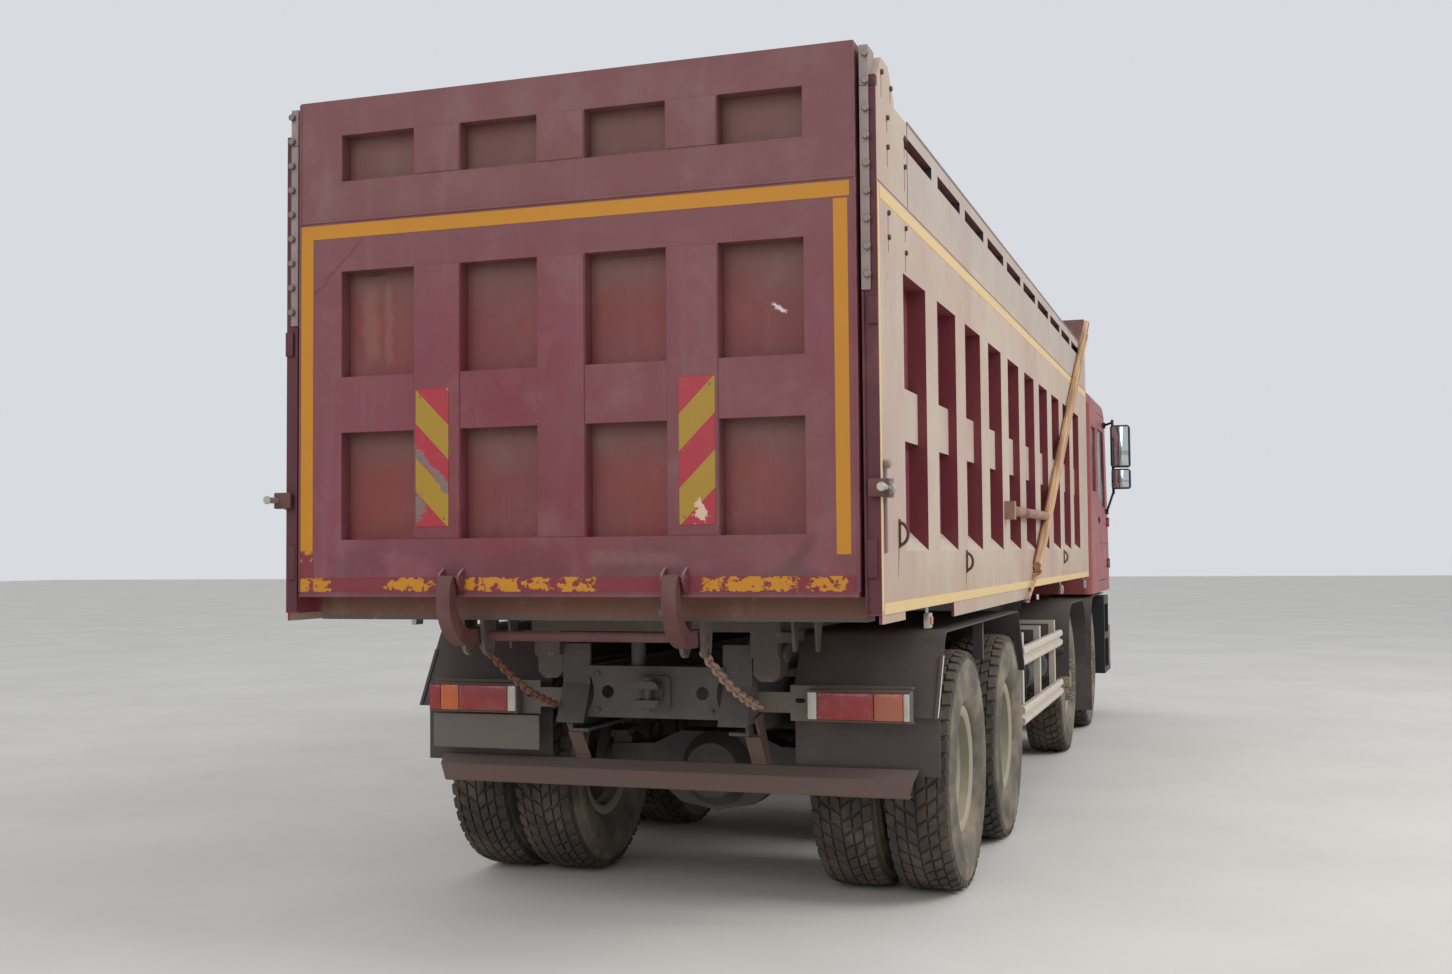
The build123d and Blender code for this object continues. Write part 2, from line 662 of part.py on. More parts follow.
# Side guards: two double-corrugated rails on posts, each side
GUARD_REAR = AXLE_3 + 640
GUARD_FRONT = AXLE_2 - 1060
GUARD_Y = 1235.0
GUARD_T = 34.0
with BuildPart() as side_guards:
    for side in (1, -1):
        for low in (545, 900):
            # corrugated section: two ridges with a valley between
            end_plate(
                [
                    (side * (GUARD_Y - GUARD_T), low),
                    (side * (GUARD_Y - 8), low),
                    (side * GUARD_Y, low + 14),
                    (side * GUARD_Y, low + 38),
                    (side * (GUARD_Y - 20), low + 50),
                    (side * (GUARD_Y - 20), low + 62),
                    (side * GUARD_Y, low + 74),
                    (side * GUARD_Y, low + 98),
                    (side * (GUARD_Y - 8), low + 112),
                    (side * (GUARD_Y - GUARD_T), low + 112),
                ],
                GUARD_REAR,
                GUARD_FRONT,
            )
        for post in (200, (GUARD_FRONT - GUARD_REAR) / 2, GUARD_FRONT - GUARD_REAR - 200):
            post_x = GUARD_REAR + post
            slab(
                post_x - 30, post_x + 30, side * (GUARD_Y - GUARD_T - 40), side * (GUARD_Y - GUARD_T),
                545, 1090,
            )
            slab(
                post_x - 30, post_x + 30, side * (RAIL_Y + SEAT), side * (GUARD_Y - GUARD_T),
                1066, 1090,
            )
save(side_guards, "side_guards")

# Mudguards: a flared sheet over the tandem wheels with edged ends and a hanging flap, and round
# arches over axles 1 and 2
SHEET = 6.0
GUARD_TOP = 1240.0
GUARD_OUT_Y = 1242.0
ARCH_TOP = 1183.0
ARCH_HALF = STEER_SWEEP + 12
TANDEM_REAR = GATE_FACE + 1090
TANDEM_FORE = AXLE_3 + 600
with BuildPart() as mudguards:
    for side in (1, -1):
        rear_bend = (AXLE_4 - 600, GUARD_TOP)
        fore_bend = (AXLE_3 + 350, GUARD_TOP)
        folded_sheet(
            [(TANDEM_REAR, 885), rear_bend, fore_bend, (TANDEM_FORE, 880)], 70, SHEET,
            side * 590, side * GUARD_OUT_Y,
        )
        # stiff edge strips down both flared ends
        for foot, bend in (((TANDEM_REAR, 885), rear_bend), ((TANDEM_FORE, 880), fore_bend)):
            edge_x = foot[0] + 0.72 * (bend[0] - foot[0])
            edge_z = foot[1] + 0.72 * (bend[1] - foot[1])
            side_plate(
                [(foot[0] - 11, foot[1]), (foot[0] + 11, foot[1]), (edge_x + 11, edge_z), (edge_x - 11, edge_z)],
                side * (GUARD_OUT_Y - 14),
                side * GUARD_OUT_Y,
            )
        for tube_x, tube_z in ((AXLE_4 - 682, 1060), (BOGIE_X, 1050), (AXLE_3 + 463, 1041)):
            bar_y(tube_x, tube_z, 20, side * (RAIL_Y + SEAT), side * 1200)
        slab(BOGIE_X - 20, BOGIE_X + 20, side * 1150, side * 1200, 1050, GUARD_TOP - 2)
        # rear flap, hung from the flared sheet just ahead of the underrun bar
        slab(BAR_X + 78, BAR_X + 84, side * 590, side * (GUARD_OUT_Y - 6), 625, 1022)
        # axle 2: a round arch with drops at both ends
        folded_sheet(
            [
                (AXLE_2 - ARCH_HALF, 640), (AXLE_2 - ARCH_HALF, ARCH_TOP), (AXLE_2 + ARCH_HALF, ARCH_TOP),
                (AXLE_2 + ARCH_HALF, 700),
            ],
            300, SHEET, side * 860, side * 1238,
        )
        # axle 1: a round arch with a long rubber flap behind the wheel
        folded_sheet(
            [(AXLE_1 - ARCH_HALF, 640), (AXLE_1 - ARCH_HALF, ARCH_TOP), (AXLE_1 + ARCH_HALF, ARCH_TOP)],
            300, SHEET, side * 860, side * 1238,
        )
        slab(
            AXLE_1 - ARCH_HALF - 9, AXLE_1 - ARCH_HALF - 2, side * 870, side * 1236, 210, 700,
        )
        for tube_x in (AXLE_2 - ARCH_HALF - 18, AXLE_2 + ARCH_HALF + 18, AXLE_1 - ARCH_HALF - 18):
            bar_y(tube_x, 840, 20, side * (RAIL_Y + SEAT), side * 1200)
save(mudguards, "mudguards")

# Steps ahead of the front wheels
STEP_REAR = AXLE_1 + STEER_SWEEP + 15
STEP_FRONT = BUMPER_FACE - 330
with BuildPart() as cab_steps:
    for side in (1, -1):
        side_plate(
            [
                (STEP_REAR, 420), (STEP_FRONT, 420), (STEP_FRONT, 1150), (STEP_REAR, 1150),
            ],
            side * 870,
            side * 1240,
        )
        for tread_z in (470, 800):
            slab(STEP_REAR + 40, STEP_FRONT - 40, side * 960, side * 1250, tread_z, tread_z + 270, mode=Mode.SUBTRACT)
        slab(STEP_REAR + 100, STEP_REAR + 180, side * (RAIL_Y + SEAT), side * 870, 860, 900)
        slab(STEP_FRONT - 180, STEP_FRONT - 100, side * (RAIL_Y + SEAT), side * 870, 860, 900)
save(cab_steps, "cab_steps")

# Bumper: a wrap-round shell with lamp pockets, and the fixed panel above it
BUMPER_TOP = 850.0
BUMPER_BOTTOM = 420.0
BUMPER_BACK = BUMPER_FACE - 322
with BuildPart() as bumper:
    with BuildSketch(Plane.XY.offset(BUMPER_BOTTOM)):
        with BuildLine():
            Polyline(
                (BUMPER_BACK, -1240), (BUMPER_FACE - 160, -1240), (BUMPER_FACE - 30, -1120),
                (BUMPER_FACE, -800), (BUMPER_FACE, 800), (BUMPER_FACE - 30, 1120),
                (BUMPER_FACE - 160, 1240), (BUMPER_BACK, 1240), (BUMPER_BACK, 1180),
                (BUMPER_FACE - 180, 1180), (BUMPER_FACE - 90, 1080), (BUMPER_FACE - 60, 800),
                (BUMPER_FACE - 60, -800), (BUMPER_FACE - 90, -1080), (BUMPER_FACE - 180, -1180),
                (BUMPER_BACK, -1180), close=True,
            )
        make_face()
    extrude(amount=BUMPER_TOP - BUMPER_BOTTOM)
    for side in (1, -1):
        slab(BUMPER_FACE - 140, BUMPER_FACE + 10, side * 760, side * 1090, 590, 790, mode=Mode.SUBTRACT)
        slab(FRAME_FRONT - 200, BUMPER_FACE - 60, side * (RAIL_Y + SEAT), side * (RAIL_Y + 20), 700, 890)
    slab(BUMPER_FACE - 60 - 20, BUMPER_FACE - 50, -340, 340, 500, 620, mode=Mode.SUBTRACT)
    slab(BUMPER_FACE - 110, BUMPER_FACE - 80, -700, 700, BUMPER_TOP - 60, 1148)
    for side in (1, -1):
        slab(BUMPER_FACE - 110, BUMPER_FACE - 59, side * 640, side * 700, BUMPER_TOP - 60, BUMPER_TOP)
        # slots that let the cab's tilt brackets swing forward
        slab(
            BUMPER_FACE - 111, BUMPER_FACE - 79, side * 485, side * 545, BUMPER_TOP - 61, 1149,
            mode=Mode.SUBTRACT,
        )
save(bumper, "bumper")

# Hoist: a barrel on trunnions and four sliding stages, drawn upright along its own line
HOIST_DX = HOIST_TOP_X - HOIST_X
HOIST_DZ = HOIST_TOP_Z - HOIST_Z
HOIST_L = hypot(HOIST_DX, HOIST_DZ)
HOIST_PLANE = Plane(
    origin=(HOIST_X, 0, HOIST_Z), x_dir=(HOIST_DZ, 0, -HOIST_DX), z_dir=(HOIST_DX, 0, HOIST_DZ)
)
TUBE_WALL = 14.0
TUBE_TOP = 1545.0
TUBE_STEP = 16.0
with BuildPart() as hoist_barrel:
    with BuildSketch(HOIST_PLANE.offset(-110)):
        Circle(HOIST_R)
    extrude(amount=110 + TUBE_TOP)
    with BuildSketch(HOIST_PLANE.offset(-85)):
        Circle(HOIST_R - TUBE_WALL + BORE_FIT)
    extrude(amount=85 + TUBE_TOP, mode=Mode.SUBTRACT)
    for side in (1, -1):
        bar_y(HOIST_X, HOIST_Z, 30, side * (HOIST_R - TUBE_WALL + 3), side * (HOIST_R + 55))
save(hoist_barrel, "hoist_barrel")
for stage in (1, 2, 3, 4):
    outer = HOIST_R - stage * TUBE_WALL
    with BuildPart() as hoist_stage:
        if stage < 4:
            with BuildSketch(HOIST_PLANE.offset(-80 + 8 * stage)):
                Circle(outer)
                Circle(outer - TUBE_WALL + BORE_FIT, mode=Mode.SUBTRACT)
            extrude(amount=80 - 8 * stage + TUBE_TOP + TUBE_STEP * stage)
        else:
            with BuildSketch(HOIST_PLANE.offset(-80 + 8 * stage)):
                Circle(outer)
            extrude(amount=80 - 8 * stage + HOIST_L - 40)
            bar_y(HOIST_TOP_X, HOIST_TOP_Z, 58, -30, 30)
            bar_y(HOIST_TOP_X, HOIST_TOP_Z, 26, -35, 35, mode=Mode.SUBTRACT)
    save(hoist_stage, f"hoist_stage_{stage}")

# Body floor: plate, cross bearers, the two long beams, the rear sill, the hinge lugs and the
# brackets that carry the latch shaft
LATCH_X = GATE_FACE + 210.0
LATCH_Z = 1268.0
LATCH_R = 20.0
HOOK_Y = 468.0
HOOK_T = 58.0
STRIKER_OUT = 30.0
STRIKER_R = 13.0
STRIKER_Z = 1500.0
FLOOR_REAR = GATE_FACE + GATE_T + BODY_GAP + 6
FLOOR_FRONT = SIDE_FRONT - HEADBOARD_T
DOGHOUSE_L = 450.0
with BuildPart() as body_floor:
    slab(FLOOR_REAR, FLOOR_FRONT - SEAT, -WALL_Y + SEAT, WALL_Y - SEAT, FLOOR_TOP - FLOOR_T, FLOOR_TOP)
    for bay in range(BAY_COUNT + 1):
        bearer_x = FIRST_BAY - RIB_W / 2 + bay * (BAY_L + RIB_W)
        slab(bearer_x - 45, bearer_x + 45, -WALL_Y + SEAT, WALL_Y - SEAT, SILL_BOTTOM, FLOOR_TOP - FLOOR_T)
    slab(FLOOR_REAR, FLOOR_REAR + 120, -WALL_Y + SEAT, WALL_Y - SEAT, SILL_BOTTOM - 30, FLOOR_TOP - FLOOR_T)
    # hinge beam under the floor
    slab(HINGE_X - 100, HINGE_X + 100, -590, 590, HINGE_Z + 93, FLOOR_TOP - FLOOR_T)
    for side in (1, -1):
        slab(
            HINGE_X + 100, FLOOR_FRONT - SEAT, side * (BEAM_Y - BEAM_W / 2), side * (BEAM_Y + BEAM_W / 2),
            BEAM_BOTTOM, FLOOR_TOP - FLOOR_T,
        )
        slab(
            HINGE_X + 99, FLOOR_FRONT, side * (BEAM_Y - BEAM_W / 2 - 5), side * (BEAM_Y + BEAM_W / 2 - 16),
            BEAM_BOTTOM + 16, SILL_BOTTOM - 16, mode=Mode.SUBTRACT,
        )
        # hinge lug: an eight-sided housing below a wider head
        end_plate(
            [
                (side * HINGE_LUG_Y, HINGE_Z + 100), (side * HINGE_LUG_Y, HINGE_Z - HINGE_LUG_DROP + 30),
                (side * (HINGE_LUG_Y + 30), HINGE_Z - HINGE_LUG_DROP),
                (side * (HINGE_LUG_Y + HINGE_LUG_T - 30), HINGE_Z - HINGE_LUG_DROP),
                (side * (HINGE_LUG_Y + HINGE_LUG_T), HINGE_Z - HINGE_LUG_DROP + 30),
                (side * (HINGE_LUG_Y + HINGE_LUG_T), HINGE_Z + 100),
            ],
            HINGE_X - 62,
            HINGE_X + 62,
        )
        slab(
            HINGE_X - 100, HINGE_X + 100, side * HINGE_LUG_Y, side * (HINGE_LUG_Y + HINGE_LUG_T),
            HINGE_Z - 16, HINGE_Z + 94,
        )
        slab(
            HINGE_X - 100, HINGE_X + 100, side * (HINGE_LUG_Y + HINGE_LUG_T - 1), side * 640,
            HINGE_Z + 50, HINGE_Z + 94,
        )
        # stiffeners hung from the rear of the floor
        for stiff_y in (660, 762):
            side_plate(
                [
                    (HINGE_X - 190, SILL_BOTTOM + 5), (HINGE_X - 60, SILL_BOTTOM + 5),
                    (HINGE_X - 128, HINGE_Z + 16), (HINGE_X - 158, HINGE_Z + 16),
                ],
                side * stiff_y,
                side * (stiff_y + 12),
            )
        slab(
            HINGE_X - 190, HINGE_X - 60, side * 640, side * 790, SILL_BOTTOM, FLOOR_TOP - FLOOR_T,
        )
        bar_y(
            HINGE_X, HINGE_Z, HINGE_PIN_R + BORE_FIT, side * (HINGE_LUG_Y - 5),
            side * (HINGE_LUG_Y + HINGE_LUG_T + 5), mode=Mode.SUBTRACT,
        )
    # brackets of the latch shaft, rounded below, with a hole for the safety chain
    for side in (1, -1):
        for bracket_y in (HOOK_Y - HOOK_T / 2 - 22, HOOK_Y + HOOK_T / 2 + 6):
            low, high = sorted((side * bracket_y, side * (bracket_y + 16)))
            with BuildSketch(Plane.XZ.offset(-high)) as bracket:
                with BuildLine():
                    Polyline(
                        (LATCH_X - 46, LATCH_Z - 36), (FLOOR_REAR + 2, SILL_BOTTOM - 20),
                        (FLOOR_REAR + 118, SILL_BOTTOM - 20), (LATCH_X + 46, LATCH_Z - 36),
                    )
                    ThreePointArc(
                        (LATCH_X + 46, LATCH_Z - 36), (LATCH_X, LATCH_Z - 78),
                        (LATCH_X - 46, LATCH_Z - 36),
                    )
                make_face()
                with Locations((LATCH_X + 4, LATCH_Z - 52)):
                    Circle(13, mode=Mode.SUBTRACT)
            extrude(bracket.sketch, amount=high - low)
    bar_y(LATCH_X, LATCH_Z, LATCH_R + BORE_FIT, -HOOK_Y - 60, HOOK_Y + 60, mode=Mode.SUBTRACT)
    # opening for the hoist and the sheets around it
    slab(
        FLOOR_FRONT - DOGHOUSE_L - 8 - SEAT, FLOOR_FRONT + 5, -DOGHOUSE_Y - 8 - SEAT,
        DOGHOUSE_Y + 8 + SEAT, SILL_BOTTOM - 5, FLOOR_TOP + 5, mode=Mode.SUBTRACT,
    )
save(body_floor, "body_floor")

# Body sides: a wall with deep bays between ribs, a recessed rail across each bay, a sloping
# sill ledge below, and a slotted sideboard on top
LEDGE_RISE = RIB_DEPTH
for side, name in ((1, "body_side_left"), (-1, "body_side_right")):
    with BuildPart() as body_side:
        slab(SIDE_REAR, SIDE_FRONT, side * WALL_Y, side * BODY_Y, SILL_BOTTOM, SEAM_Z)
        for bay in range(BAY_COUNT):
            bay_x = FIRST_BAY + bay * (BAY_L + RIB_W)
            for low, high in ((BAY_BOTTOM, MID_RAIL_BOTTOM), (MID_RAIL_TOP, BAY_TOP)):
                foot = LEDGE_RISE if low == BAY_BOTTOM else 0
                with BuildSketch(Plane.YZ.offset(bay_x)):
                    with BuildLine():
                        Polyline(
                            (side * (BODY_Y + 1), low), (side * BODY_Y, low),
                            (side * (BODY_Y - RIB_DEPTH), low + foot),
                            (side * (BODY_Y - RIB_DEPTH), high), (side * (BODY_Y + 1), high),
                            close=True,
                        )
                    make_face()
                extrude(amount=BAY_L, mode=Mode.SUBTRACT)
            slab(
                bay_x, bay_x + BAY_L, side * (BODY_Y - MID_RAIL_DEPTH), side * (BODY_Y + 1),
                MID_RAIL_BOTTOM - 1, MID_RAIL_TOP + 1, mode=Mode.SUBTRACT,
            )
        # the tailgate sits between the rear posts
        slab(
            SIDE_REAR - 1, GATE_FACE + GATE_T + 12, side * (WALL_Y - 1), side * POST_Y,
            SILL_BOTTOM - 1, SEAM_Z + 1, mode=Mode.SUBTRACT,
        )
        # strips hung below the sill
        for strip_x0, strip_x1, strip_low in ((30, 430, 1333), (1480, 4030, 1301)):
            slab(
                GATE_FACE + strip_x0, GATE_FACE + strip_x1, side * (BODY_Y - 14), side * (BODY_Y - 2),
                strip_low, SILL_BOTTOM + 1,
            )
    save(body_side, name)

# Sideboards above the seam, with a row of long slots, and the ears that carry the tailgate
SLOT_L = 560.0
SLOT_PITCH = 700.0
EAR_TOP = 3425.0
with BuildPart() as sideboards:
    for side in (1, -1):
        slab(SIDE_REAR, SIDE_FRONT, side * WALL_Y, side * BODY_Y, SEAM_Z + SEAT, SIDEBOARD_TOP)
        for slot in range(BAY_COUNT):
            slot_x = FIRST_BAY + 60 + slot * SLOT_PITCH
            slab(
                slot_x, slot_x + SLOT_L, side * (BODY_Y - SLOT_DEPTH), side * (BODY_Y + 1),
                SLOT_BOTTOM, SLOT_TOP, mode=Mode.SUBTRACT,
            )
        slab(
            SIDE_REAR - 1, GATE_FACE + GATE_T + 12, side * (WALL_Y - 1), side * POST_Y,
            SEAM_Z - 1, SIDEBOARD_TOP + 1, mode=Mode.SUBTRACT,
        )
        side_plate(
            [
                (GATE_FACE + 40, SIDEBOARD_TOP - 250), (GATE_FACE + 330, SIDEBOARD_TOP - 250),
                (GATE_FACE + 330, SIDEBOARD_TOP + 20), (GATE_PIN_X + 60, EAR_TOP),
                (GATE_PIN_X - 60, EAR_TOP), (GATE_FACE + 40, SIDEBOARD_TOP + 40),
            ],
            side * POST_Y,
            side * BODY_Y,
        )
        bar_y(GATE_PIN_X, GATE_PIN_Z, GATE_PIN_R, side * (GATE_Y - 30), side * (POST_Y + 5))
save(sideboards, "sideboards")

# Headboard: a pocketed wall, taller than the sides, with the sloping hoist recess
RECESS_TOP = 2660.0
RECESS_FOOT = FLOOR_TOP - 70
with BuildPart() as headboard:
    slab(FLOOR_FRONT, SIDE_FRONT, -WALL_Y + SEAT, WALL_Y - SEAT, SILL_BOTTOM, HEADBOARD_TOP)
    slab(FLOOR_FRONT, SIDE_FRONT, -BODY_Y, BODY_Y, SIDEBOARD_TOP + SEAT, HEADBOARD_TOP)
    for column in (-880, -510, 510, 880):
        for low, high in ((1560, 2120), (2220, 2760), (2860, 3180)):
            slab(
                SIDE_FRONT - 45, SIDE_FRONT + 1, column - 130, column + 130, low, high,
                mode=Mode.SUBTRACT,
            )
    slab(FLOOR_FRONT - 1, SIDE_FRONT + 1, -DOGHOUSE_Y, DOGHOUSE_Y, SILL_BOTTOM - 1, RECESS_TOP, mode=Mode.SUBTRACT)
    # recess walls: two side sheets and one sloping back sheet
    back_x = FLOOR_FRONT - DOGHOUSE_L
    for side in (1, -1):
        side_plate(
            [
                (back_x, RECESS_FOOT), (FLOOR_FRONT + 5, RECESS_FOOT),
                (FLOOR_FRONT + 5, RECESS_TOP + 8), (FLOOR_FRONT - 10, RECESS_TOP + 8),
                (back_x, FLOOR_TOP + 60),
            ],
            side * DOGHOUSE_Y,
            side * (DOGHOUSE_Y + 8),
        )
    side_plate(
        [
            (back_x - 8, RECESS_FOOT), (back_x, RECESS_FOOT), (back_x, FLOOR_TOP + 60),
            (FLOOR_FRONT + 5, RECESS_TOP), (FLOOR_FRONT + 5, RECESS_TOP + 12),
            (FLOOR_FRONT - 12, RECESS_TOP + 8), (back_x - 8, FLOOR_TOP + 64),
        ],
        -DOGHOUSE_Y - 8,
        DOGHOUSE_Y + 8,
    )
    # lugs for the hoist's eye
    for side in (1, -1):
        side_plate(
            [
                (SIDE_FRONT - 5, HOIST_TOP_Z - 150), (SIDE_FRONT + 60, HOIST_TOP_Z - 110),
                (HOIST_TOP_X + 45, HOIST_TOP_Z - 30), (HOIST_TOP_X + 45, HOIST_TOP_Z + 30),
                (SIDE_FRONT + 60, HOIST_TOP_Z + 110), (SIDE_FRONT - 5, HOIST_TOP_Z + 150),
            ],
            side * 54,
            side * 76,
        )
        bar_y(HOIST_TOP_X, HOIST_TOP_Z, 25, side * 52, side * 90)
save(headboard, "headboard")

# Tailgate: a frame of posts and rails with pockets between, and the bolted-on upper part
COLUMN_EDGES = ((977.0, 644.0), (436.0, 101.5))
with BuildPart() as tailgate:
    slab(GATE_FACE, GATE_FACE + GATE_T, -GATE_Y, GATE_Y, GATE_BOTTOM, GATE_SEAM)
    for low, high in ((1661, 2096), (2322, 2755)):
        for far, near in COLUMN_EDGES:
            for side in (1, -1):
                slab(
                    GATE_FACE - 1, GATE_FACE + GATE_RECESS, side * near, side * far, low, high,
                    mode=Mode.SUBTRACT,
                )
    # strikers: a pin between two rounded cheeks, one for each latch hook
    for side in (1, -1):
        for cheek_y in (HOOK_Y - HOOK_T / 2 - 20, HOOK_Y + HOOK_T / 2 + 8):
            low, high = sorted((side * cheek_y, side * (cheek_y + 12)))
            with BuildSketch(Plane.XZ.offset(-high)) as cheek:
                with BuildLine():
                    Polyline(
                        (GATE_FACE - STRIKER_OUT, STRIKER_Z - 26), (GATE_FACE + 1, STRIKER_Z - 62),
                        (GATE_FACE + 1, STRIKER_Z + 44), (GATE_FACE - STRIKER_OUT, STRIKER_Z + 26),
                    )
                    ThreePointArc(
                        (GATE_FACE - STRIKER_OUT, STRIKER_Z + 26),
                        (GATE_FACE - STRIKER_OUT - 14, STRIKER_Z),
                        (GATE_FACE - STRIKER_OUT, STRIKER_Z - 26),
                    )
                make_face()
            extrude(cheek.sketch, amount=high - low)
        bar_y(
            GATE_FACE - STRIKER_OUT + 14, STRIKER_Z, STRIKER_R, side * (HOOK_Y - HOOK_T / 2 - 24),
            side * (HOOK_Y + HOOK_T / 2 + 24),
        )
save(tailgate, "tailgate")

with BuildPart() as gate_extension:
    slab(GATE_FACE, GATE_FACE + GATE_T, -GATE_Y, GATE_Y, GATE_SEAM + SEAT, GATE_TOP)
    for far, near in COLUMN_EDGES:
        for side in (1, -1):
            slab(
                GATE_FACE - 1, GATE_FACE + GATE_RECESS, side * near, side * far, 3125, 3316,
                mode=Mode.SUBTRACT,
            )
    for side in (1, -1):
        side_plate(
            [
                (GATE_FACE + GATE_T - 1, GATE_PIN_Z - 60), (GATE_PIN_X, GATE_PIN_Z - 42),
                (GATE_PIN_X + 36, GATE_PIN_Z - 25), (GATE_PIN_X + 42, GATE_PIN_Z + 10),
                (GATE_PIN_X + 20, GATE_PIN_Z + 38), (GATE_FACE + GATE_T - 1, GATE_PIN_Z + 60),
            ],
            side * (GATE_Y - 24),
            side * (GATE_Y - 4),
        )
        bar_y(
            GATE_PIN_X, GATE_PIN_Z, GATE_PIN_R + BORE_FIT, side * (GATE_Y - 35), side * GATE_Y,
            mode=Mode.SUBTRACT,
        )
save(gate_extension, "gate_extension")

# Latch hooks on one cross shaft below the rear sill: each claw sweeps round the sill and stands
# behind its striker
CLAW_FACE = GATE_FACE - STRIKER_OUT + 14 - STRIKER_R - 2
CLAW_BACK = CLAW_FACE - 38
CLAW_TOP = STRIKER_Z + 16
with BuildPart() as gate_hooks:
    bar_y(LATCH_X, LATCH_Z, LATCH_R, -HOOK_Y - 50, HOOK_Y + 50)
    for side in (1, -1):
        with BuildSketch(Plane.XZ.offset(-side * HOOK_Y - HOOK_T / 2)) as claw:
            with BuildLine():
                Line((LATCH_X, LATCH_Z + 34), (GATE_FACE + 96, LATCH_Z + 30))
                ThreePointArc(
                    (GATE_FACE + 96, LATCH_Z + 30), (GATE_FACE + 2, LATCH_Z + 84), (CLAW_FACE, CLAW_TOP - 40)
                )
                Line((CLAW_FACE, CLAW_TOP - 40), (CLAW_FACE, CLAW_TOP - 8))
                Line((CLAW_FACE, CLAW_TOP - 8), (CLAW_BACK + 14, CLAW_TOP))
                Line((CLAW_BACK + 14, CLAW_TOP), (CLAW_BACK, CLAW_TOP - 18))
                ThreePointArc(
                    (CLAW_BACK, CLAW_TOP - 18), (GATE_FACE - 42, LATCH_Z + 34), (GATE_FACE + 84, LATCH_Z - 34)
                )
                Line((GATE_FACE + 84, LATCH_Z - 34), (LATCH_X, LATCH_Z - 34))
                ThreePointArc(
                    (LATCH_X, LATCH_Z - 34), (LATCH_X + 34, LATCH_Z), (LATCH_X, LATCH_Z + 34)
                )
            make_face()
        extrude(claw.sketch, amount=HOOK_T)
save(gate_hooks, "gate_hooks")

# Timber poles stowed against the right side: a pair that leans up to the headboard, a tube
# along the ribs, and a thin rod below the foot
POLE_R = 26.0
POLE_Y = -BODY_Y - SEAT - POLE_R
POLE_FOOT = (GATE_FACE + 4230, POLE_Y, 1500)
POLE_HEAD = (GATE_FACE + 7840, POLE_Y, 3520)
POLE_PITCH = 44.0
TUBE_R = 28.0
with BuildPart() as tarp_poles:
    lean_angle = atan2(POLE_HEAD[2] - POLE_FOOT[2], POLE_HEAD[0] - POLE_FOOT[0])
    shift_x = POLE_PITCH * sin(lean_angle)
    shift_z = -POLE_PITCH * cos(lean_angle)
    rod(POLE_FOOT, POLE_HEAD, POLE_R)
    rod(
        (POLE_FOOT[0] + shift_x, POLE_Y, POLE_FOOT[2] + shift_z),
        (POLE_HEAD[0] + shift_x - 160, POLE_Y, POLE_HEAD[2] + shift_z - 160 * tan(lean_angle)),
        POLE_R,
    )
    slab(POLE_FOOT[0] - 50, POLE_FOOT[0] + 70, POLE_Y - POLE_R, -BODY_Y - SEAT, 1440, 1452)
    rod((POLE_FOOT[0], POLE_Y, 1446), (GATE_FACE + 3790, POLE_Y, 1300), 9)
    bar_x(-BODY_Y - SEAT - TUBE_R, 1815, TUBE_R, GATE_FACE + 3120, GATE_FACE + 4750)
    slab(
        GATE_FACE + 3060, GATE_FACE + 3122, -BODY_Y - SEAT - 2 * TUBE_R, -BODY_Y - SEAT, 1765, 1865,
    )
save(tarp_poles, "tarp_poles")

# Cab shell: hollow, with door openings, windows and an engine tunnel
CAB_SIDE_VIEW = [
    (CAB_REAR, CAB_BOTTOM),
    (CAB_FRONT, CAB_BOTTOM),
    (CAB_FRONT - 10, 1500),
    (CAB_FRONT - 60, 1930),
    (CAB_FRONT - 240, 2800),
    (CAB_FRONT - 340, CAB_TOP - 60),
    (CAB_FRONT - 520, CAB_TOP),
    (CAB_REAR + 120, CAB_TOP),
    (CAB_REAR, CAB_TOP - 90),
]
CAB_INSIDE = [
    (CAB_REAR + CAB_WALL, CAB_FLOOR),
    (CAB_FRONT - CAB_WALL - 20, CAB_FLOOR),
    (CAB_FRONT - CAB_WALL - 20, 1500),
    (CAB_FRONT - 60 - CAB_WALL, 1930),
    (CAB_FRONT - 240 - CAB_WALL, 2780),
    (CAB_FRONT - 370, CAB_TOP - 100),
    (CAB_FRONT - 520, CAB_TOP - CAB_WALL),
    (CAB_REAR + 120, CAB_TOP - CAB_WALL),
    (CAB_REAR + CAB_WALL, CAB_TOP - 110),
]
CAB_CORNER_R = 70.0
GRILLE_LOW = 1310.0
GRILLE_HIGH = 1800.0
GRILLE_Y = 760.0
GRILLE_SINK = 26.0
GRILLE_SLATS = 5
SCREEN_Y = 1080.0
SCREEN_LOW = 2020.0
SCREEN_HIGH = 2740.0
TUNNEL_Y = 400.0
TUNNEL_TOP = 1500.0
REAR_WINDOW_Y = 520.0


def grille_x(z):
    """The cab's front face at a height up to the windscreen."""
    if z < 1500:
        return CAB_FRONT - 10 * (z - CAB_BOTTOM) / (1500 - CAB_BOTTOM)
    return CAB_FRONT - 10 - 50 * (z - 1500) / (1930 - 1500)


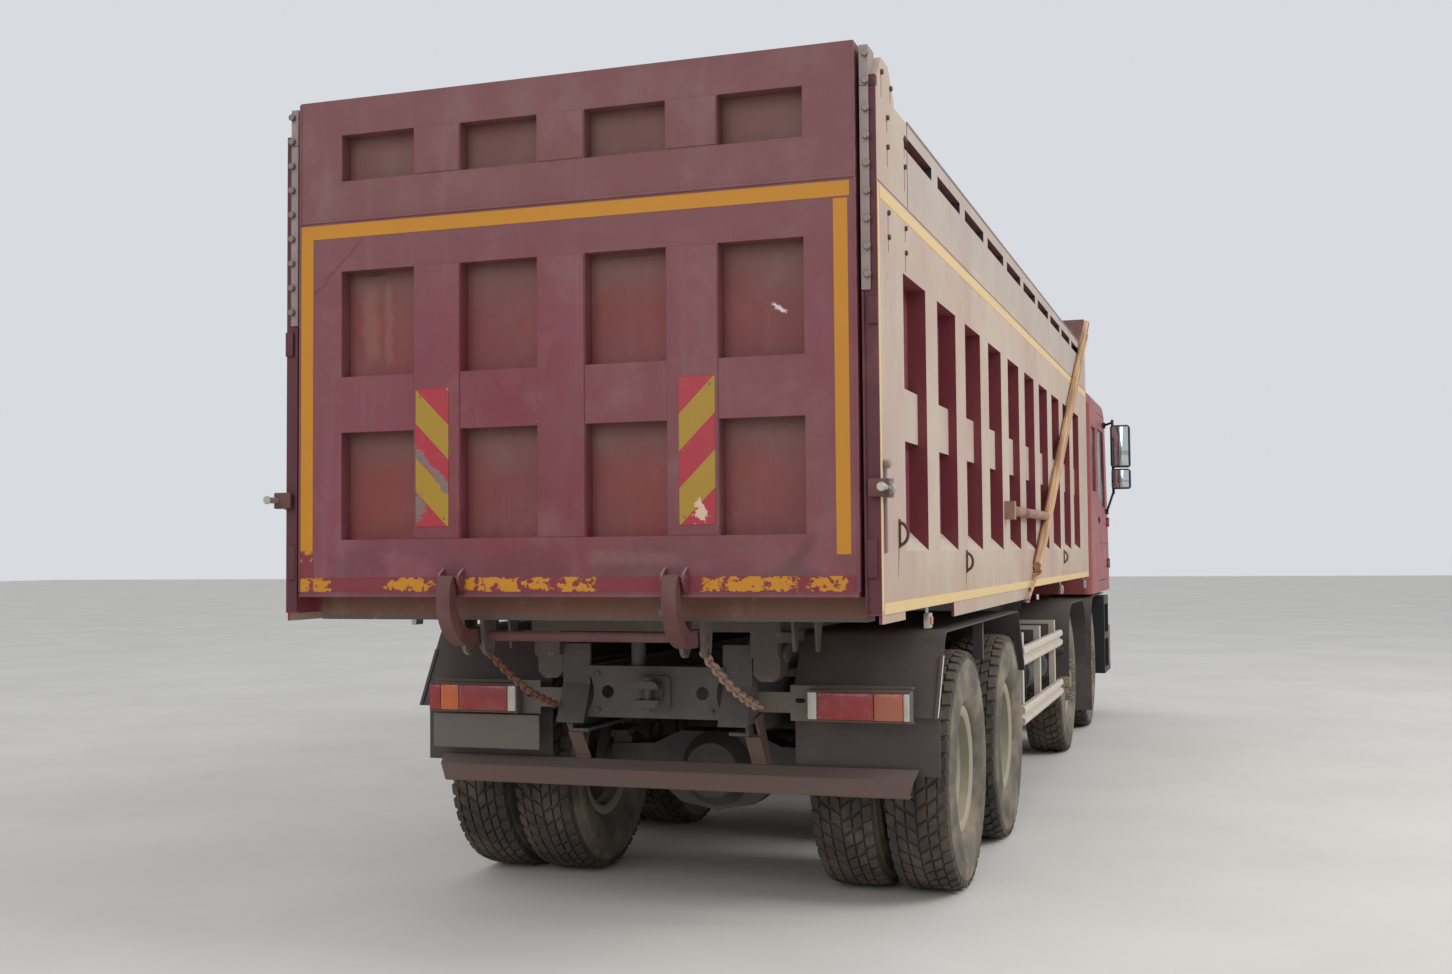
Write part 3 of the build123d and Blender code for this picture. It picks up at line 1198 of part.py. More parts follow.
with BuildPart() as cab_shell:
    side_plate(CAB_SIDE_VIEW, -CAB_Y, CAB_Y)
    outline_edges = cab_shell.edges().filter_by(
        lambda edge: abs(abs(edge.center().Y) - CAB_Y) < 1 and edge.center().Z > CAB_BOTTOM + 5
    )
    fillet(outline_edges, radius=CAB_CORNER_R)
    side_plate(CAB_INSIDE, -CAB_Y + CAB_WALL, CAB_Y - CAB_WALL, mode=Mode.SUBTRACT)
    slab(CAB_REAR + CAB_WALL, AXLE_1 + 1080, -TUNNEL_Y - 30, TUNNEL_Y + 30, CAB_FLOOR - 10, TUNNEL_TOP + 30)
    slab(CAB_REAR - 1, AXLE_1 + 1050, -TUNNEL_Y, TUNNEL_Y, CAB_BOTTOM - 1, TUNNEL_TOP, mode=Mode.SUBTRACT)
    slab(
        CAB_FRONT - 400, CAB_FRONT + 10, -SCREEN_Y, SCREEN_Y, SCREEN_LOW, SCREEN_HIGH,
        mode=Mode.SUBTRACT,
    )
    slab(
        CAB_REAR - 1, CAB_REAR + CAB_WALL + 1, -REAR_WINDOW_Y, REAR_WINDOW_Y, 2200, 2620,
        mode=Mode.SUBTRACT,
    )
    for side in (1, -1):
        side_plate(
            [
                (DOOR_REAR - DOOR_GAP, DOOR_BOTTOM - DOOR_GAP), (DOOR_FRONT + DOOR_GAP, DOOR_BOTTOM - DOOR_GAP),
                (DOOR_FRONT + DOOR_GAP, DOOR_KNEE), (DOOR_TOP_FRONT + DOOR_GAP, DOOR_TOP + DOOR_GAP),
                (DOOR_REAR - DOOR_GAP, DOOR_TOP + DOOR_GAP),
            ],
            side * (CAB_Y - CAB_WALL - 1),
            side * (CAB_Y + 1),
            mode=Mode.SUBTRACT,
        )
        slab(
            CAB_REAR + 170, DOOR_REAR - 130, side * (CAB_Y - CAB_WALL - 1), side * (CAB_Y + 1),
            2120, 2700, mode=Mode.SUBTRACT,
        )
    # grille: a sunk field in the front panel with slats across it
    side_plate(
        [
            (CAB_FRONT + 5, GRILLE_LOW), (grille_x(GRILLE_LOW) - GRILLE_SINK, GRILLE_LOW),
            (grille_x(1500) - GRILLE_SINK, 1500), (grille_x(GRILLE_HIGH) - GRILLE_SINK, GRILLE_HIGH),
            (CAB_FRONT + 5, GRILLE_HIGH),
        ],
        -GRILLE_Y,
        GRILLE_Y,
        mode=Mode.SUBTRACT,
    )
    for slat in range(GRILLE_SLATS):
        slat_z = GRILLE_LOW + (slat + 0.5) * (GRILLE_HIGH - GRILLE_LOW) / GRILLE_SLATS
        side_plate(
            [
                (grille_x(slat_z - 24) - GRILLE_SINK - 2, slat_z - 24), (grille_x(slat_z - 12) - 4, slat_z - 12),
                (grille_x(slat_z + 14) - 4, slat_z + 14), (grille_x(slat_z + 20) - GRILLE_SINK - 2, slat_z + 20),
            ],
            -GRILLE_Y - 1,
            GRILLE_Y + 1,
        )
    # sun visor over the windscreen
    side_plate(
        [
            (CAB_FRONT - 250, 2800), (CAB_FRONT - 96, 2712), (CAB_FRONT - 88, 2720), (CAB_FRONT - 132, 2778),
            (CAB_FRONT - 252, 2830),
        ],
        -1060,
        1060,
    )
    # pressed ribs across the rear wall
    for rib_z in (1620, 1800, 1980, 2760):
        side_plate(
            [
                (CAB_REAR + 1, rib_z - 34), (CAB_REAR - 12, rib_z - 20), (CAB_REAR - 12, rib_z + 20),
                (CAB_REAR + 1, rib_z + 34),
            ],
            -1050,
            1050,
        )
    # tilt brackets down to the frame's front
    for side in (1, -1):
        side_plate(
            [
                (CAB_PIVOT_X - 40, CAB_BOTTOM + 5), (CAB_PIVOT_X + 40, CAB_BOTTOM + 5),
                (CAB_PIVOT_X + 34, CAB_PIVOT_Z - 30), (CAB_PIVOT_X - 34, CAB_PIVOT_Z - 30),
            ],
            side * 500,
            side * 530,
        )
        bar_y(CAB_PIVOT_X, CAB_PIVOT_Z, 20 + BORE_FIT, side * 495, side * 535, mode=Mode.SUBTRACT)
    # door hinges: two eyes and a pin each
    for side in (1, -1):
        for hinge_z in DOOR_HINGES:
            for low in (-46, 16):
                bar_z(DOOR_FRONT + 10, side * (CAB_Y + HINGE_OUT), 13, hinge_z + low, hinge_z + low + 30)
                slab(
                    DOOR_FRONT + 10, DOOR_FRONT + 60, side * (CAB_Y - 2), side * (CAB_Y + HINGE_OUT),
                    hinge_z + low, hinge_z + low + 30,
                )
            bar_z(DOOR_FRONT + 10, side * (CAB_Y + HINGE_OUT), 7, hinge_z - 46, hinge_z + 46)
save(cab_shell, "cab_shell")

# Fixed cab glass
GLASS = 6.0
with BuildPart() as cab_glass:
    lean = (2800 - 1930) / 180.0
    low_x = CAB_FRONT - 60 - (SCREEN_LOW - 1930) / lean - 18
    high_x = CAB_FRONT - 60 - (SCREEN_HIGH - 1930) / lean - 18
    side_plate(
        [
            (low_x, SCREEN_LOW + SEAT), (high_x, SCREEN_HIGH - SEAT),
            (high_x - GLASS, SCREEN_HIGH - SEAT), (low_x - GLASS, SCREEN_LOW + SEAT),
        ],
        -SCREEN_Y + SEAT,
        SCREEN_Y - SEAT,
    )
    slab(
        CAB_REAR + 20, CAB_REAR + 20 + GLASS, -REAR_WINDOW_Y + SEAT, REAR_WINDOW_Y - SEAT,
        2200 + SEAT, 2620 - SEAT,
    )
    for side in (1, -1):
        slab(
            CAB_REAR + 170 + SEAT, DOOR_REAR - 130 - SEAT, side * (CAB_Y - 16 - GLASS), side * (CAB_Y - 16),
            2120 + SEAT, 2700 - SEAT,
        )
save(cab_glass, "cab_glass")

# Doors, each with its window, its glass and its mirrors
WINDOW_LOW = 2000.0
WINDOW_HIGH = 2720.0
WINDOW_REAR = DOOR_REAR + 90
WINDOW_FRONT = DOOR_FRONT - 110
WINDOW_LEAN = 130.0
WINDOW_SILL_RISE = 110.0
MIRROR_X = GATE_FACE + 9500.0


def window_outline(inset):
    """Side view of the door's window: its front edge leans back and its sill dips forward."""
    return [
        (WINDOW_REAR + inset, WINDOW_LOW + WINDOW_SILL_RISE + inset),
        (WINDOW_REAR + 420, WINDOW_LOW + inset),
        (WINDOW_FRONT - inset, WINDOW_LOW + inset),
        (WINDOW_FRONT - WINDOW_LEAN - inset, WINDOW_HIGH - inset),
        (WINDOW_REAR + inset, WINDOW_HIGH - inset),
    ]


for side, hand in ((1, "left"), (-1, "right")):
    with BuildPart() as door:
        side_plate(
            [
                (DOOR_REAR, DOOR_BOTTOM), (DOOR_FRONT, DOOR_BOTTOM), (DOOR_FRONT, DOOR_KNEE),
                (DOOR_TOP_FRONT, DOOR_TOP), (DOOR_REAR, DOOR_TOP),
            ],
            side * (CAB_Y - CAB_WALL),
            side * CAB_Y,
        )
        side_plate(
            window_outline(0), side * (CAB_Y - CAB_WALL - 1), side * (CAB_Y + 1), mode=Mode.SUBTRACT,
        )
        # hollow for the fingers behind the handle, and a pressed line along the door
        slab(
            DOOR_REAR + 60, DOOR_REAR + 220, side * (CAB_Y - 20), side * (CAB_Y + 1), 1838, 1898,
            mode=Mode.SUBTRACT,
        )
        slab(
            DOOR_REAR - 1, DOOR_FRONT + 1, side * (CAB_Y - 6), side * (CAB_Y + 1), 1642, 1654,
            mode=Mode.SUBTRACT,
        )
        for hinge_z in DOOR_HINGES:
            bar_z(DOOR_FRONT + 10, side * (CAB_Y + HINGE_OUT), 13, hinge_z - 15.5, hinge_z + 15.5)
            slab(
                DOOR_FRONT - 50, DOOR_FRONT + 10, side * (CAB_Y + 1.5), side * (CAB_Y + HINGE_OUT),
                hinge_z - 15.5, hinge_z + 15.5,
            )
            slab(
                DOOR_FRONT - 50, DOOR_FRONT - 2, side * (CAB_Y - 2), side * (CAB_Y + 4),
                hinge_z - 15.5, hinge_z + 15.5,
            )
            bar_z(
                DOOR_FRONT + 10, side * (CAB_Y + HINGE_OUT), 7 + BORE_FIT, hinge_z - 20, hinge_z + 20,
                mode=Mode.SUBTRACT,
            )
    save(door, f"door_{hand}")
    with BuildPart() as door_glass:
        side_plate(window_outline(SEAT), side * (CAB_Y - 16 - GLASS), side * (CAB_Y - 16))
    save(door_glass, f"door_glass_{hand}")
    with BuildPart() as mirror_set:
        slab(MIRROR_X - 40, MIRROR_X + 50, side * 1330, side * 1510, 2370, 2770)
        slab(MIRROR_X - 40, MIRROR_X + 50, side * 1335, side * 1510, 2165, 2355)
        fillet(mirror_set.edges().filter_by(Axis.X), radius=28)
        bar_z(MIRROR_X + 55, side * 1345, 13, 2120, 2830)
        for arm_z, foot_x, foot_z in ((2805, DOOR_TOP_FRONT - 70, 2790), (2140, DOOR_FRONT - 60, 1960)):
            rod((MIRROR_X + 55, side * 1345, arm_z), (foot_x, side * (CAB_Y + 12), foot_z), 11)
            slab(
                foot_x - 30, foot_x + 30, side * (CAB_Y + SEAT), side * (CAB_Y + 26),
                foot_z - 26, foot_z + 26,
            )
    save(mirror_set, f"mirrors_{hand}")

# Air intake: a tall box duct with a louvred head, carried on the cab's rear wall
INTAKE_X = CAB_REAR - 112.0
with BuildPart() as air_intake:
    slab(INTAKE_X - 50, INTAKE_X + 50, -1110, -960, 1330, 2820)
    with BuildSketch(Plane.XY.offset(2820)):
        with Locations((INTAKE_X, -1035)):
            RectangleRounded(112, 250, 26)
    extrude(amount=190)
    for louvre in range(5):
        slab(
            INTAKE_X - 60, INTAKE_X - 44, -1140, -930, 2848 + louvre * 30, 2860 + louvre * 30,
            mode=Mode.SUBTRACT,
        )
    for strap_z in (1500, 2150, 2640):
        slab(INTAKE_X + 49, CAB_REAR - SEAT, -1080, -990, strap_z, strap_z + 50)
save(air_intake, "air_intake")

# Cab inside: two seats, a dash and a steering wheel
SEAT_Y = 700.0
with BuildPart() as cab_interior:
    for seat_y in (-SEAT_Y, SEAT_Y):
        slab(AXLE_1 - 120, AXLE_1 + 380, seat_y - 250, seat_y + 250, CAB_FLOOR + SEAT, CAB_FLOOR + 380)
        side_plate(
            [
                (AXLE_1 - 120, CAB_FLOOR + 300), (AXLE_1 + 20, CAB_FLOOR + 300),
                (AXLE_1 - 60, CAB_FLOOR + 1080), (AXLE_1 - 160, CAB_FLOOR + 1080),
            ],
            seat_y - 240,
            seat_y + 240,
        )
    side_plate(
        [
            (CAB_FRONT - 76 - SEAT, 1560), (CAB_FRONT - 110 - SEAT, 1925), (CAB_FRONT - 260, 1940),
            (CAB_FRONT - 430, 1840), (CAB_FRONT - 400, 1600), (CAB_FRONT - 300, 1540),
        ],
        -CAB_Y + CAB_WALL + SEAT,
        CAB_Y - CAB_WALL - SEAT,
    )
    wheel_plane = Plane(origin=(CAB_FRONT - 560, SEAT_Y, 1880), z_dir=(-0.5, 0, 0.87))
    with BuildSketch(wheel_plane):
        Circle(230)
        Circle(200, mode=Mode.SUBTRACT)
        Rectangle(420, 40)
        Circle(60)
    extrude(amount=26)
    rod((CAB_FRONT - 560, SEAT_Y, 1880), (CAB_FRONT - 380, SEAT_Y, 1700), 26)
save(cab_interior, "cab_interior")

# Steered wheels: knuckle, rim with hub, tyre
HAND_HOLES = 10
HAND_HOLE_R = 20.0
HAND_HOLE_CIRCLE = 227.0


def hand_holes(axle_x, y0, y1):
    """The ring of round holes through a wheel disc."""
    low, high = sorted((y0, y1))
    with BuildSketch(Plane(origin=(axle_x, high, WHEEL_Z), z_dir=(0, -1, 0))) as ring:
        with PolarLocations(HAND_HOLE_CIRCLE, HAND_HOLES):
            Circle(HAND_HOLE_R)
    extrude(ring.sketch, amount=high - low, mode=Mode.SUBTRACT)


BEAD = RIM_W / 2 - RIM_LIP_T - SEAT
SIDEWALL = TYRE_W / 2
TYRE_SECTION = [
    (-BEAD, RIM_R + SEAT), (-BEAD, RIM_LIP_R + 2), (-SIDEWALL, 400), (-SIDEWALL + 10, 510),
    (-TREAD_W / 2, TYRE_R), (TREAD_W / 2, TYRE_R), (SIDEWALL - 10, 510), (SIDEWALL, 400),
    (BEAD, RIM_LIP_R + 2), (BEAD, RIM_R + SEAT),
]
for axle, axle_x in ((1, AXLE_1), (2, AXLE_2)):
    for side, hand in ((1, "left"), (-1, "right")):
        wheel_plane = Plane(origin=(axle_x, 0, WHEEL_Z), x_dir=(0, side, 0), z_dir=(side, 0, 0))
        wheel_axis = Axis((axle_x, 0, WHEEL_Z), (0, 1, 0))
        with BuildPart() as knuckle:
            for low in (KINGPIN_EYE_H / 2 + 5, -KINGPIN_EYE_H / 2 - 45):
                bar_z(axle_x, side * KINGPIN_Y, 46, WHEEL_Z + low, WHEEL_Z + low + 40)
                slab(
                    axle_x - 46, axle_x + 46, side * KINGPIN_Y, side * (KINGPIN_Y + 74),
                    WHEEL_Z + low, WHEEL_Z + low + 40,
                )
            bar_z(axle_x, side * KINGPIN_Y, KINGPIN_R, WHEEL_Z - 100, WHEEL_Z + 100)
            slab(
                axle_x - 46, axle_x + 46, side * (KINGPIN_Y + 52), side * (KINGPIN_Y + 76),
                WHEEL_Z - 105, WHEEL_Z + 105,
            )
            bar_y(axle_x, WHEEL_Z, SPINDLE_R, side * (KINGPIN_Y + 60), side * (FRONT_WHEEL_Y + 90))
        save(knuckle, f"knuckle_{axle}_{hand}")
        with BuildPart() as rim:
            with BuildSketch(wheel_plane):
                with BuildLine():
                    hub = FRONT_WHEEL_Y
                    Polyline(
                        (hub - RIM_W / 2, RIM_LIP_R), (hub - RIM_W / 2 + RIM_LIP_T, RIM_LIP_R),
                        (hub - RIM_W / 2 + RIM_LIP_T, RIM_R), (hub + RIM_W / 2 - RIM_LIP_T, RIM_R),
                        (hub + RIM_W / 2 - RIM_LIP_T, RIM_LIP_R), (hub + RIM_W / 2, RIM_LIP_R),
                        (hub + RIM_W / 2, RIM_R - RIM_WALL), (hub + 90, RIM_R - RIM_WALL),
                        (hub + 92, 190), (hub + 118, 160), (hub + 118, 130), (hub + 150, 118),
                        (hub + 165, 70), (hub + 165, 0), (hub + 94, 0),
                        (hub + 94, SPINDLE_R + BORE_FIT), (hub - 70, SPINDLE_R + BORE_FIT),
                        (hub - 70, 200), (hub + 10, 200), (hub + 10, 120), (hub + 96, 120),
                        (hub + 80, 190), (hub + 78, RIM_R - RIM_WALL), (hub - RIM_W / 2, RIM_R - RIM_WALL),
                        close=True,
                    )
                make_face()
            revolve(axis=wheel_axis)
            hand_holes(axle_x, side * (FRONT_WHEEL_Y + 60), side * (FRONT_WHEEL_Y + 112))
        save(rim, f"rim_{axle}_{hand}")
        with BuildPart() as tyre:
            with BuildSketch(wheel_plane):
                with BuildLine():
                    Polyline(*[(FRONT_WHEEL_Y + a, r) for a, r in TYRE_SECTION], close=True)
                make_face()
            revolve(axis=wheel_axis)
        save(tyre, f"tyre_{axle}_{hand}")

# Driven wheels: twin rims on one hub, twin tyres
for axle, axle_x in ((3, AXLE_3), (4, AXLE_4)):
    for side, hand in ((1, "left"), (-1, "right")):
        wheel_plane = Plane(origin=(axle_x, 0, WHEEL_Z), x_dir=(0, side, 0), z_dir=(side, 0, 0))
        wheel_axis = Axis((axle_x, 0, WHEEL_Z), (0, 1, 0))
        with BuildPart() as rims:
            with BuildSketch(wheel_plane):
                for centre in (TWIN_INNER_Y, TWIN_OUTER_Y):
                    with Locations((centre, RIM_R - RIM_WALL / 2)):
                        Rectangle(RIM_W, RIM_WALL)
                    for lip in (RIM_W / 2 - RIM_LIP_T / 2, -RIM_W / 2 + RIM_LIP_T / 2):
                        with Locations((centre + lip, (RIM_R + RIM_LIP_R - RIM_WALL) / 2)):
                            Rectangle(RIM_LIP_T, RIM_LIP_R - RIM_R + RIM_WALL)
                with BuildLine():
                    Polyline(
                        (TWIN_MID_Y - 78, RIM_R - 6), (TWIN_MID_Y - 62, RIM_R - 6),
                        (TWIN_MID_Y - 12, 190), (TWIN_MID_Y, 190), (TWIN_MID_Y + 12, 190),
                        (TWIN_MID_Y + 62, RIM_R - 6), (TWIN_MID_Y + 78, RIM_R - 6),
                        (TWIN_MID_Y + 28, 180), (TWIN_MID_Y + 28, 135), (TWIN_MID_Y + 190, 125),
                        (TWIN_MID_Y + 205, 70), (TWIN_MID_Y + 205, 0), (TWIN_MID_Y + 63, 0),
                        (TWIN_MID_Y + 63, SPINDLE_R + BORE_FIT), (TWIN_INNER_Y - 60, SPINDLE_R + BORE_FIT),
                        (TWIN_INNER_Y - 60, 205), (TWIN_MID_Y - 48, 205),
                        close=True,
                    )
                make_face()
            revolve(axis=wheel_axis)
            hand_holes(axle_x, side * (TWIN_MID_Y - 76), side * (TWIN_MID_Y + 80))
        save(rims, f"rims_{axle}_{hand}")
        with BuildPart() as tyres:
            for centre in (TWIN_INNER_Y, TWIN_OUTER_Y):
                with BuildSketch(wheel_plane):
                    with BuildLine():
                        Polyline(*[(centre + a, r) for a, r in TYRE_SECTION], close=True)
                    make_face()
                revolve(axis=wheel_axis)
        save(tyres, f"tyres_{axle}_{hand}")
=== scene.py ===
"""Looks of a worn four-axle dump truck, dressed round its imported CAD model.

Metres. +X is forward, +Y is the left side, +Z is up and the ground is z = 0.
"""

from __future__ import annotations

import json
import logging
import math
import random
from dataclasses import dataclass, field
from enum import Enum

import bpy
from mathutils import Matrix, Vector

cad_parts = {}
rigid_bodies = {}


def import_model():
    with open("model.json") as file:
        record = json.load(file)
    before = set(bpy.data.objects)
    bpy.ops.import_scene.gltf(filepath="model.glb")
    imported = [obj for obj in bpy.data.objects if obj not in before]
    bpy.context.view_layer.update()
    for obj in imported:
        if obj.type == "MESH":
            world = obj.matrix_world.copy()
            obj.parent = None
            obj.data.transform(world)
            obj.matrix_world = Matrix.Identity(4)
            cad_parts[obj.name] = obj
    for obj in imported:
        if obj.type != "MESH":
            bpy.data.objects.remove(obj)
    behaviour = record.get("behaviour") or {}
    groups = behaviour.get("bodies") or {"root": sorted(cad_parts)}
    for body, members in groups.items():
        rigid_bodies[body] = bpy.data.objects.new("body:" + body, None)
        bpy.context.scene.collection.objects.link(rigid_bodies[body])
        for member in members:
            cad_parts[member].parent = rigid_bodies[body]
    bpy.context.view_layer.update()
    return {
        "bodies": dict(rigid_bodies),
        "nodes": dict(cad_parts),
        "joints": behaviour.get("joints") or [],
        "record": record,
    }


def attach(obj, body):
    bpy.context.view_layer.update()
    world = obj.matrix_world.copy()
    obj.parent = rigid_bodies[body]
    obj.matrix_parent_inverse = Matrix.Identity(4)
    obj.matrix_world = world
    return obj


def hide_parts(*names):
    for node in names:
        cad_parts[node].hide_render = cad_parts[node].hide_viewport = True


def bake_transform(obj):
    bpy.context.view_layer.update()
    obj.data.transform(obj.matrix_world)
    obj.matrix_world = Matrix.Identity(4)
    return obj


LOG = logging.getLogger("dump_truck")
Point = tuple[float, float, float]
Spot = tuple[float, float]
Shade = tuple[float, float, float, float]
Rgb = tuple[int, int, int]

# The tailgate's face, the axles, their height, the gate's seam and the body's side
GATE = -5.125
AXLE_X = {4: GATE + 1.9, 3: GATE + 3.25, 2: GATE + 7.025, 1: GATE + 8.825}
WHEEL_Z = 0.5625
SEAM_Z = 2.955
BODY_Y = 1.25
SIDES = {"left": 1.0, "right": -1.0}
# Half the width of a painted edge
EDGE = 0.001
# What is left of the tape along the gate's foot: pairs of places across, and its height
REST_TAPE = (
    (1.179, 1.132), (1.103, 1.038), (0.760, 0.571), (0.425, 0.350), (0.328, 0.194), (0.147, 0.058),
    (0.007, -0.139), (-0.579, -0.638), (-0.669, -0.805), (-0.824, -0.943), (-0.999, -1.115),
)
REST_Z = 1.4805


def tone(red: int, green: int, blue: int) -> Shade:
    """Turn a colour written as on a screen into Blender's linear one.

    Args:
        red: from 0 to 255.
        green: from 0 to 255.
        blue: from 0 to 255.

    Returns:
        The linear colour, opaque.
    """

    def linear(value: int) -> float:
        """Undo the screen's curve for one channel."""
        share = value / 255
        return share / 12.92 if share <= 0.04045 else ((share + 0.055) / 1.055) ** 2.4

    return (linear(red), linear(green), linear(blue), 1.0)


class Along(Enum):
    """A row axis, as an index into a point."""

    X = 0
    Y = 1
    Z = 2


class Graph:
    """A material's node tree, grown from the shader back to its patterns."""

    def __init__(self, name: str) -> None:
        """Start an empty material that reads object coordinates.

        Args:
            name: the material's name.
        """
        self.material = bpy.data.materials.new(name)
        self.material.use_nodes = True
        self.tree = self.material.node_tree
        self.shader = self.tree.nodes["Principled BSDF"]
        coordinates = self.tree.nodes.new("ShaderNodeTexCoord")
        self.place = coordinates.outputs["Object"]
        self.normal = coordinates.outputs["Normal"]

    def wire(self, value: object, socket: bpy.types.NodeSocket) -> None:
        """Set a socket to a value, or link another socket to it.

        Args:
            value: a number, a colour, a vector or another socket.
            socket: what is set.
        """
        if isinstance(value, bpy.types.NodeSocket):
            self.tree.links.new(value, socket)
        else:
            socket.default_value = value

    def node(self, kind: str, **settings: object) -> bpy.types.Node:
        """Add a node.

        Args:
            kind: the node's type.
            settings: its settings.

        Returns:
            The node.
        """
        made = self.tree.nodes.new(kind)
        for key, value in settings.items():
            setattr(made, key, value)
        return made

    def sum(
        self, how: str, first: object, second: object = 0.0, clamp: bool = False
    ) -> bpy.types.NodeSocket:
        """Work out one number from two.

        Args:
            how: the operation's name.
            first: a number or socket.
            second: a number or socket.
            clamp: keep the result between 0 and 1.

        Returns:
            The result's socket.
        """
        made = self.node("ShaderNodeMath", operation=how, use_clamp=clamp)
        self.wire(first, made.inputs[0])
        self.wire(second, made.inputs[1])
        return made.outputs[0]

    def axis(self, along: Along, source: bpy.types.NodeSocket | None = None) -> bpy.types.NodeSocket:
        """Take one coordinate of a vector.

        Args:
            along: which one.
            source: the vector, or nothing for the place.

        Returns:
            The coordinate's socket.
        """
        made = self.node("ShaderNodeSeparateXYZ")
        self.wire(source or self.place, made.inputs[0])
        return made.outputs[along.value]

    def step(self, value: object, low: float, high: float) -> bpy.types.NodeSocket:
        """Rise smoothly from 0 at low to 1 at high, or fall where low is the larger.

        Args:
            value: a number or socket.
            low: where the result is 0.
            high: where it is 1.

        Returns:
            The result's socket.
        """
        made = self.node("ShaderNodeMapRange", interpolation_type="SMOOTHSTEP")
        self.wire(value, made.inputs[0])
        self.wire(low, made.inputs[1])
        self.wire(high, made.inputs[2])
        return made.outputs[0]

    def noise(
        self, scale: float, detail: float = 5.0, stretch: Point = (1, 1, 1), rough: float = 0.6
    ) -> bpy.types.NodeSocket:
        """Add cloudy noise.

        Args:
            scale: about how many patches it has a metre.
            detail: how many finer layers it has.
            stretch: how much denser it is along each axis.
            rough: how strong the finer layers are.

        Returns:
            The noise's socket, from 0 to 1.
        """
        shift = self.node("ShaderNodeMapping")
        self.wire(self.place, shift.inputs[0])
        shift.inputs[3].default_value = stretch
        made = self.node("ShaderNodeTexNoise")
        self.wire(shift.outputs[0], made.inputs["Vector"])
        made.inputs["Scale"].default_value = scale
        made.inputs["Detail"].default_value = detail
        made.inputs["Roughness"].default_value = rough
        return made.outputs["Fac"]

    def patches(
        self, scale: float, low: float, high: float, stretch: Point = (1, 1, 1), detail: float = 5.0
    ) -> bpy.types.NodeSocket:
        """Noise cut to patches between two levels."""
        return self.step(self.noise(scale, detail, stretch), low, high)

    def blend(self, share: object, first: object, second: object) -> bpy.types.NodeSocket:
        """Mix two colours.

        Args:
            share: share of the second, a number or socket.
            first: a colour or socket.
            second: a colour or socket.

        Returns:
            The mixed colour's socket.
        """
        made = self.node("ShaderNodeMix", data_type="RGBA")
        self.wire(share, made.inputs[0])
        self.wire(first, made.inputs[6])
        self.wire(second, made.inputs[7])
        return made.outputs[2]

    def times(self, first: object, *others: object) -> object:
        """Multiply numbers and masks.

        Args:
            first: a number or socket.
            others: any number of the same.

        Returns:
            The product's socket.
        """
        for other in others:
            first = self.sum("MULTIPLY", first, other)
        return first

    def layer(self, base: object, colour: object, *masks: object) -> bpy.types.NodeSocket:
        """Lay a colour over another, as far as all the masks let it through."""
        return self.blend(self.times(*masks), base, colour)

    def stroke(self, start: Spot, end: Spot, width: float, fray: object = 0.0) -> bpy.types.NodeSocket:
        """Mark a band round the line between two spots.

        Args:
            start: where the line starts, as (across, height).
            end: where it ends.
            width: the band's width.
            fray: what wobbles the band's edges, a number or socket.

        Returns:
            The band's socket, 1 inside it.
        """
        run = Vector(end) - Vector(start)
        along = run.normalized()
        y = self.sum("ADD", self.axis(Along.Y), -start[0])
        z = self.sum("ADD", self.axis(Along.Z), -start[1])
        aside = self.sum("SUBTRACT", self.times(y, along.y), self.times(z, along.x))
        onward = self.sum("ADD", self.times(y, along.x), self.times(z, along.y))
        off = self.sum("ABSOLUTE", self.sum("ADD", aside, fray))
        rest = self.sum("ABSOLUTE", self.sum("ADD", onward, -run.length / 2))
        inside = self.step(off, width / 2, width / 8)
        return self.times(inside, self.step(rest, run.length / 2, run.length / 2 - width))

    def finish(
        self, colour: object, rough: object, height: object = None, depth: float = 0.001, metal: float = 0.0
    ) -> bpy.types.Material:
        """Join the patterns to the shader.

        Args:
            colour: base colour, plain or patterned.
            rough: roughness, plain or patterned.
            height: pattern that raises the surface, if any.
            depth: how far it is raised, in metres.
            metal: share of bare metal.

        Returns:
            The material.
        """
        self.wire(colour, self.shader.inputs["Base Color"])
        self.wire(rough, self.shader.inputs["Roughness"])
        self.shader.inputs["Metallic"].default_value = metal
        if height is not None:
            bump = self.node("ShaderNodeBump")
            bump.inputs["Strength"].default_value = 0.6
            bump.inputs["Distance"].default_value = depth
            self.wire(height, bump.inputs["Height"])
            self.wire(bump.outputs[0], self.shader.inputs["Normal"])
        return self.material


# Strokes on the tailgate: start and end as (across, height), width, colour and strength
GATE_MARKS = (
    ((-0.827, 2.526), (-0.897, 2.488), 0.020, tone(226, 216, 216), 0.9),
    ((-0.845, 2.497), (-0.868, 2.515), 0.012, tone(212, 196, 196), 0.8),
    ((1.112, 2.659), (0.871, 2.890), 0.016, tone(92, 46, 50), 0.6),
    ((-0.890, 1.510), (-1.030, 1.682), 0.060, tone(82, 48, 44), 0.45),
    ((0.894, 2.739), (0.868, 2.345), 0.110, tone(158, 122, 112), 0.22),
    ((0.800, 2.735), (0.795, 2.350), 0.050, tone(160, 128, 118), 0.15),
    ((-0.080, 1.585), (-0.520, 1.575), 0.070, tone(150, 118, 112), 0.16),
    ((0.960, 1.600), (0.720, 1.625), 0.045, tone(96, 56, 50), 0.40),
    ((-0.150, 2.742), (-0.420, 2.748), 0.014, tone(78, 46, 44), 0.50),
    ((0.930, 2.742), (0.800, 2.747), 0.018, tone(64, 40, 40), 0.65),
)


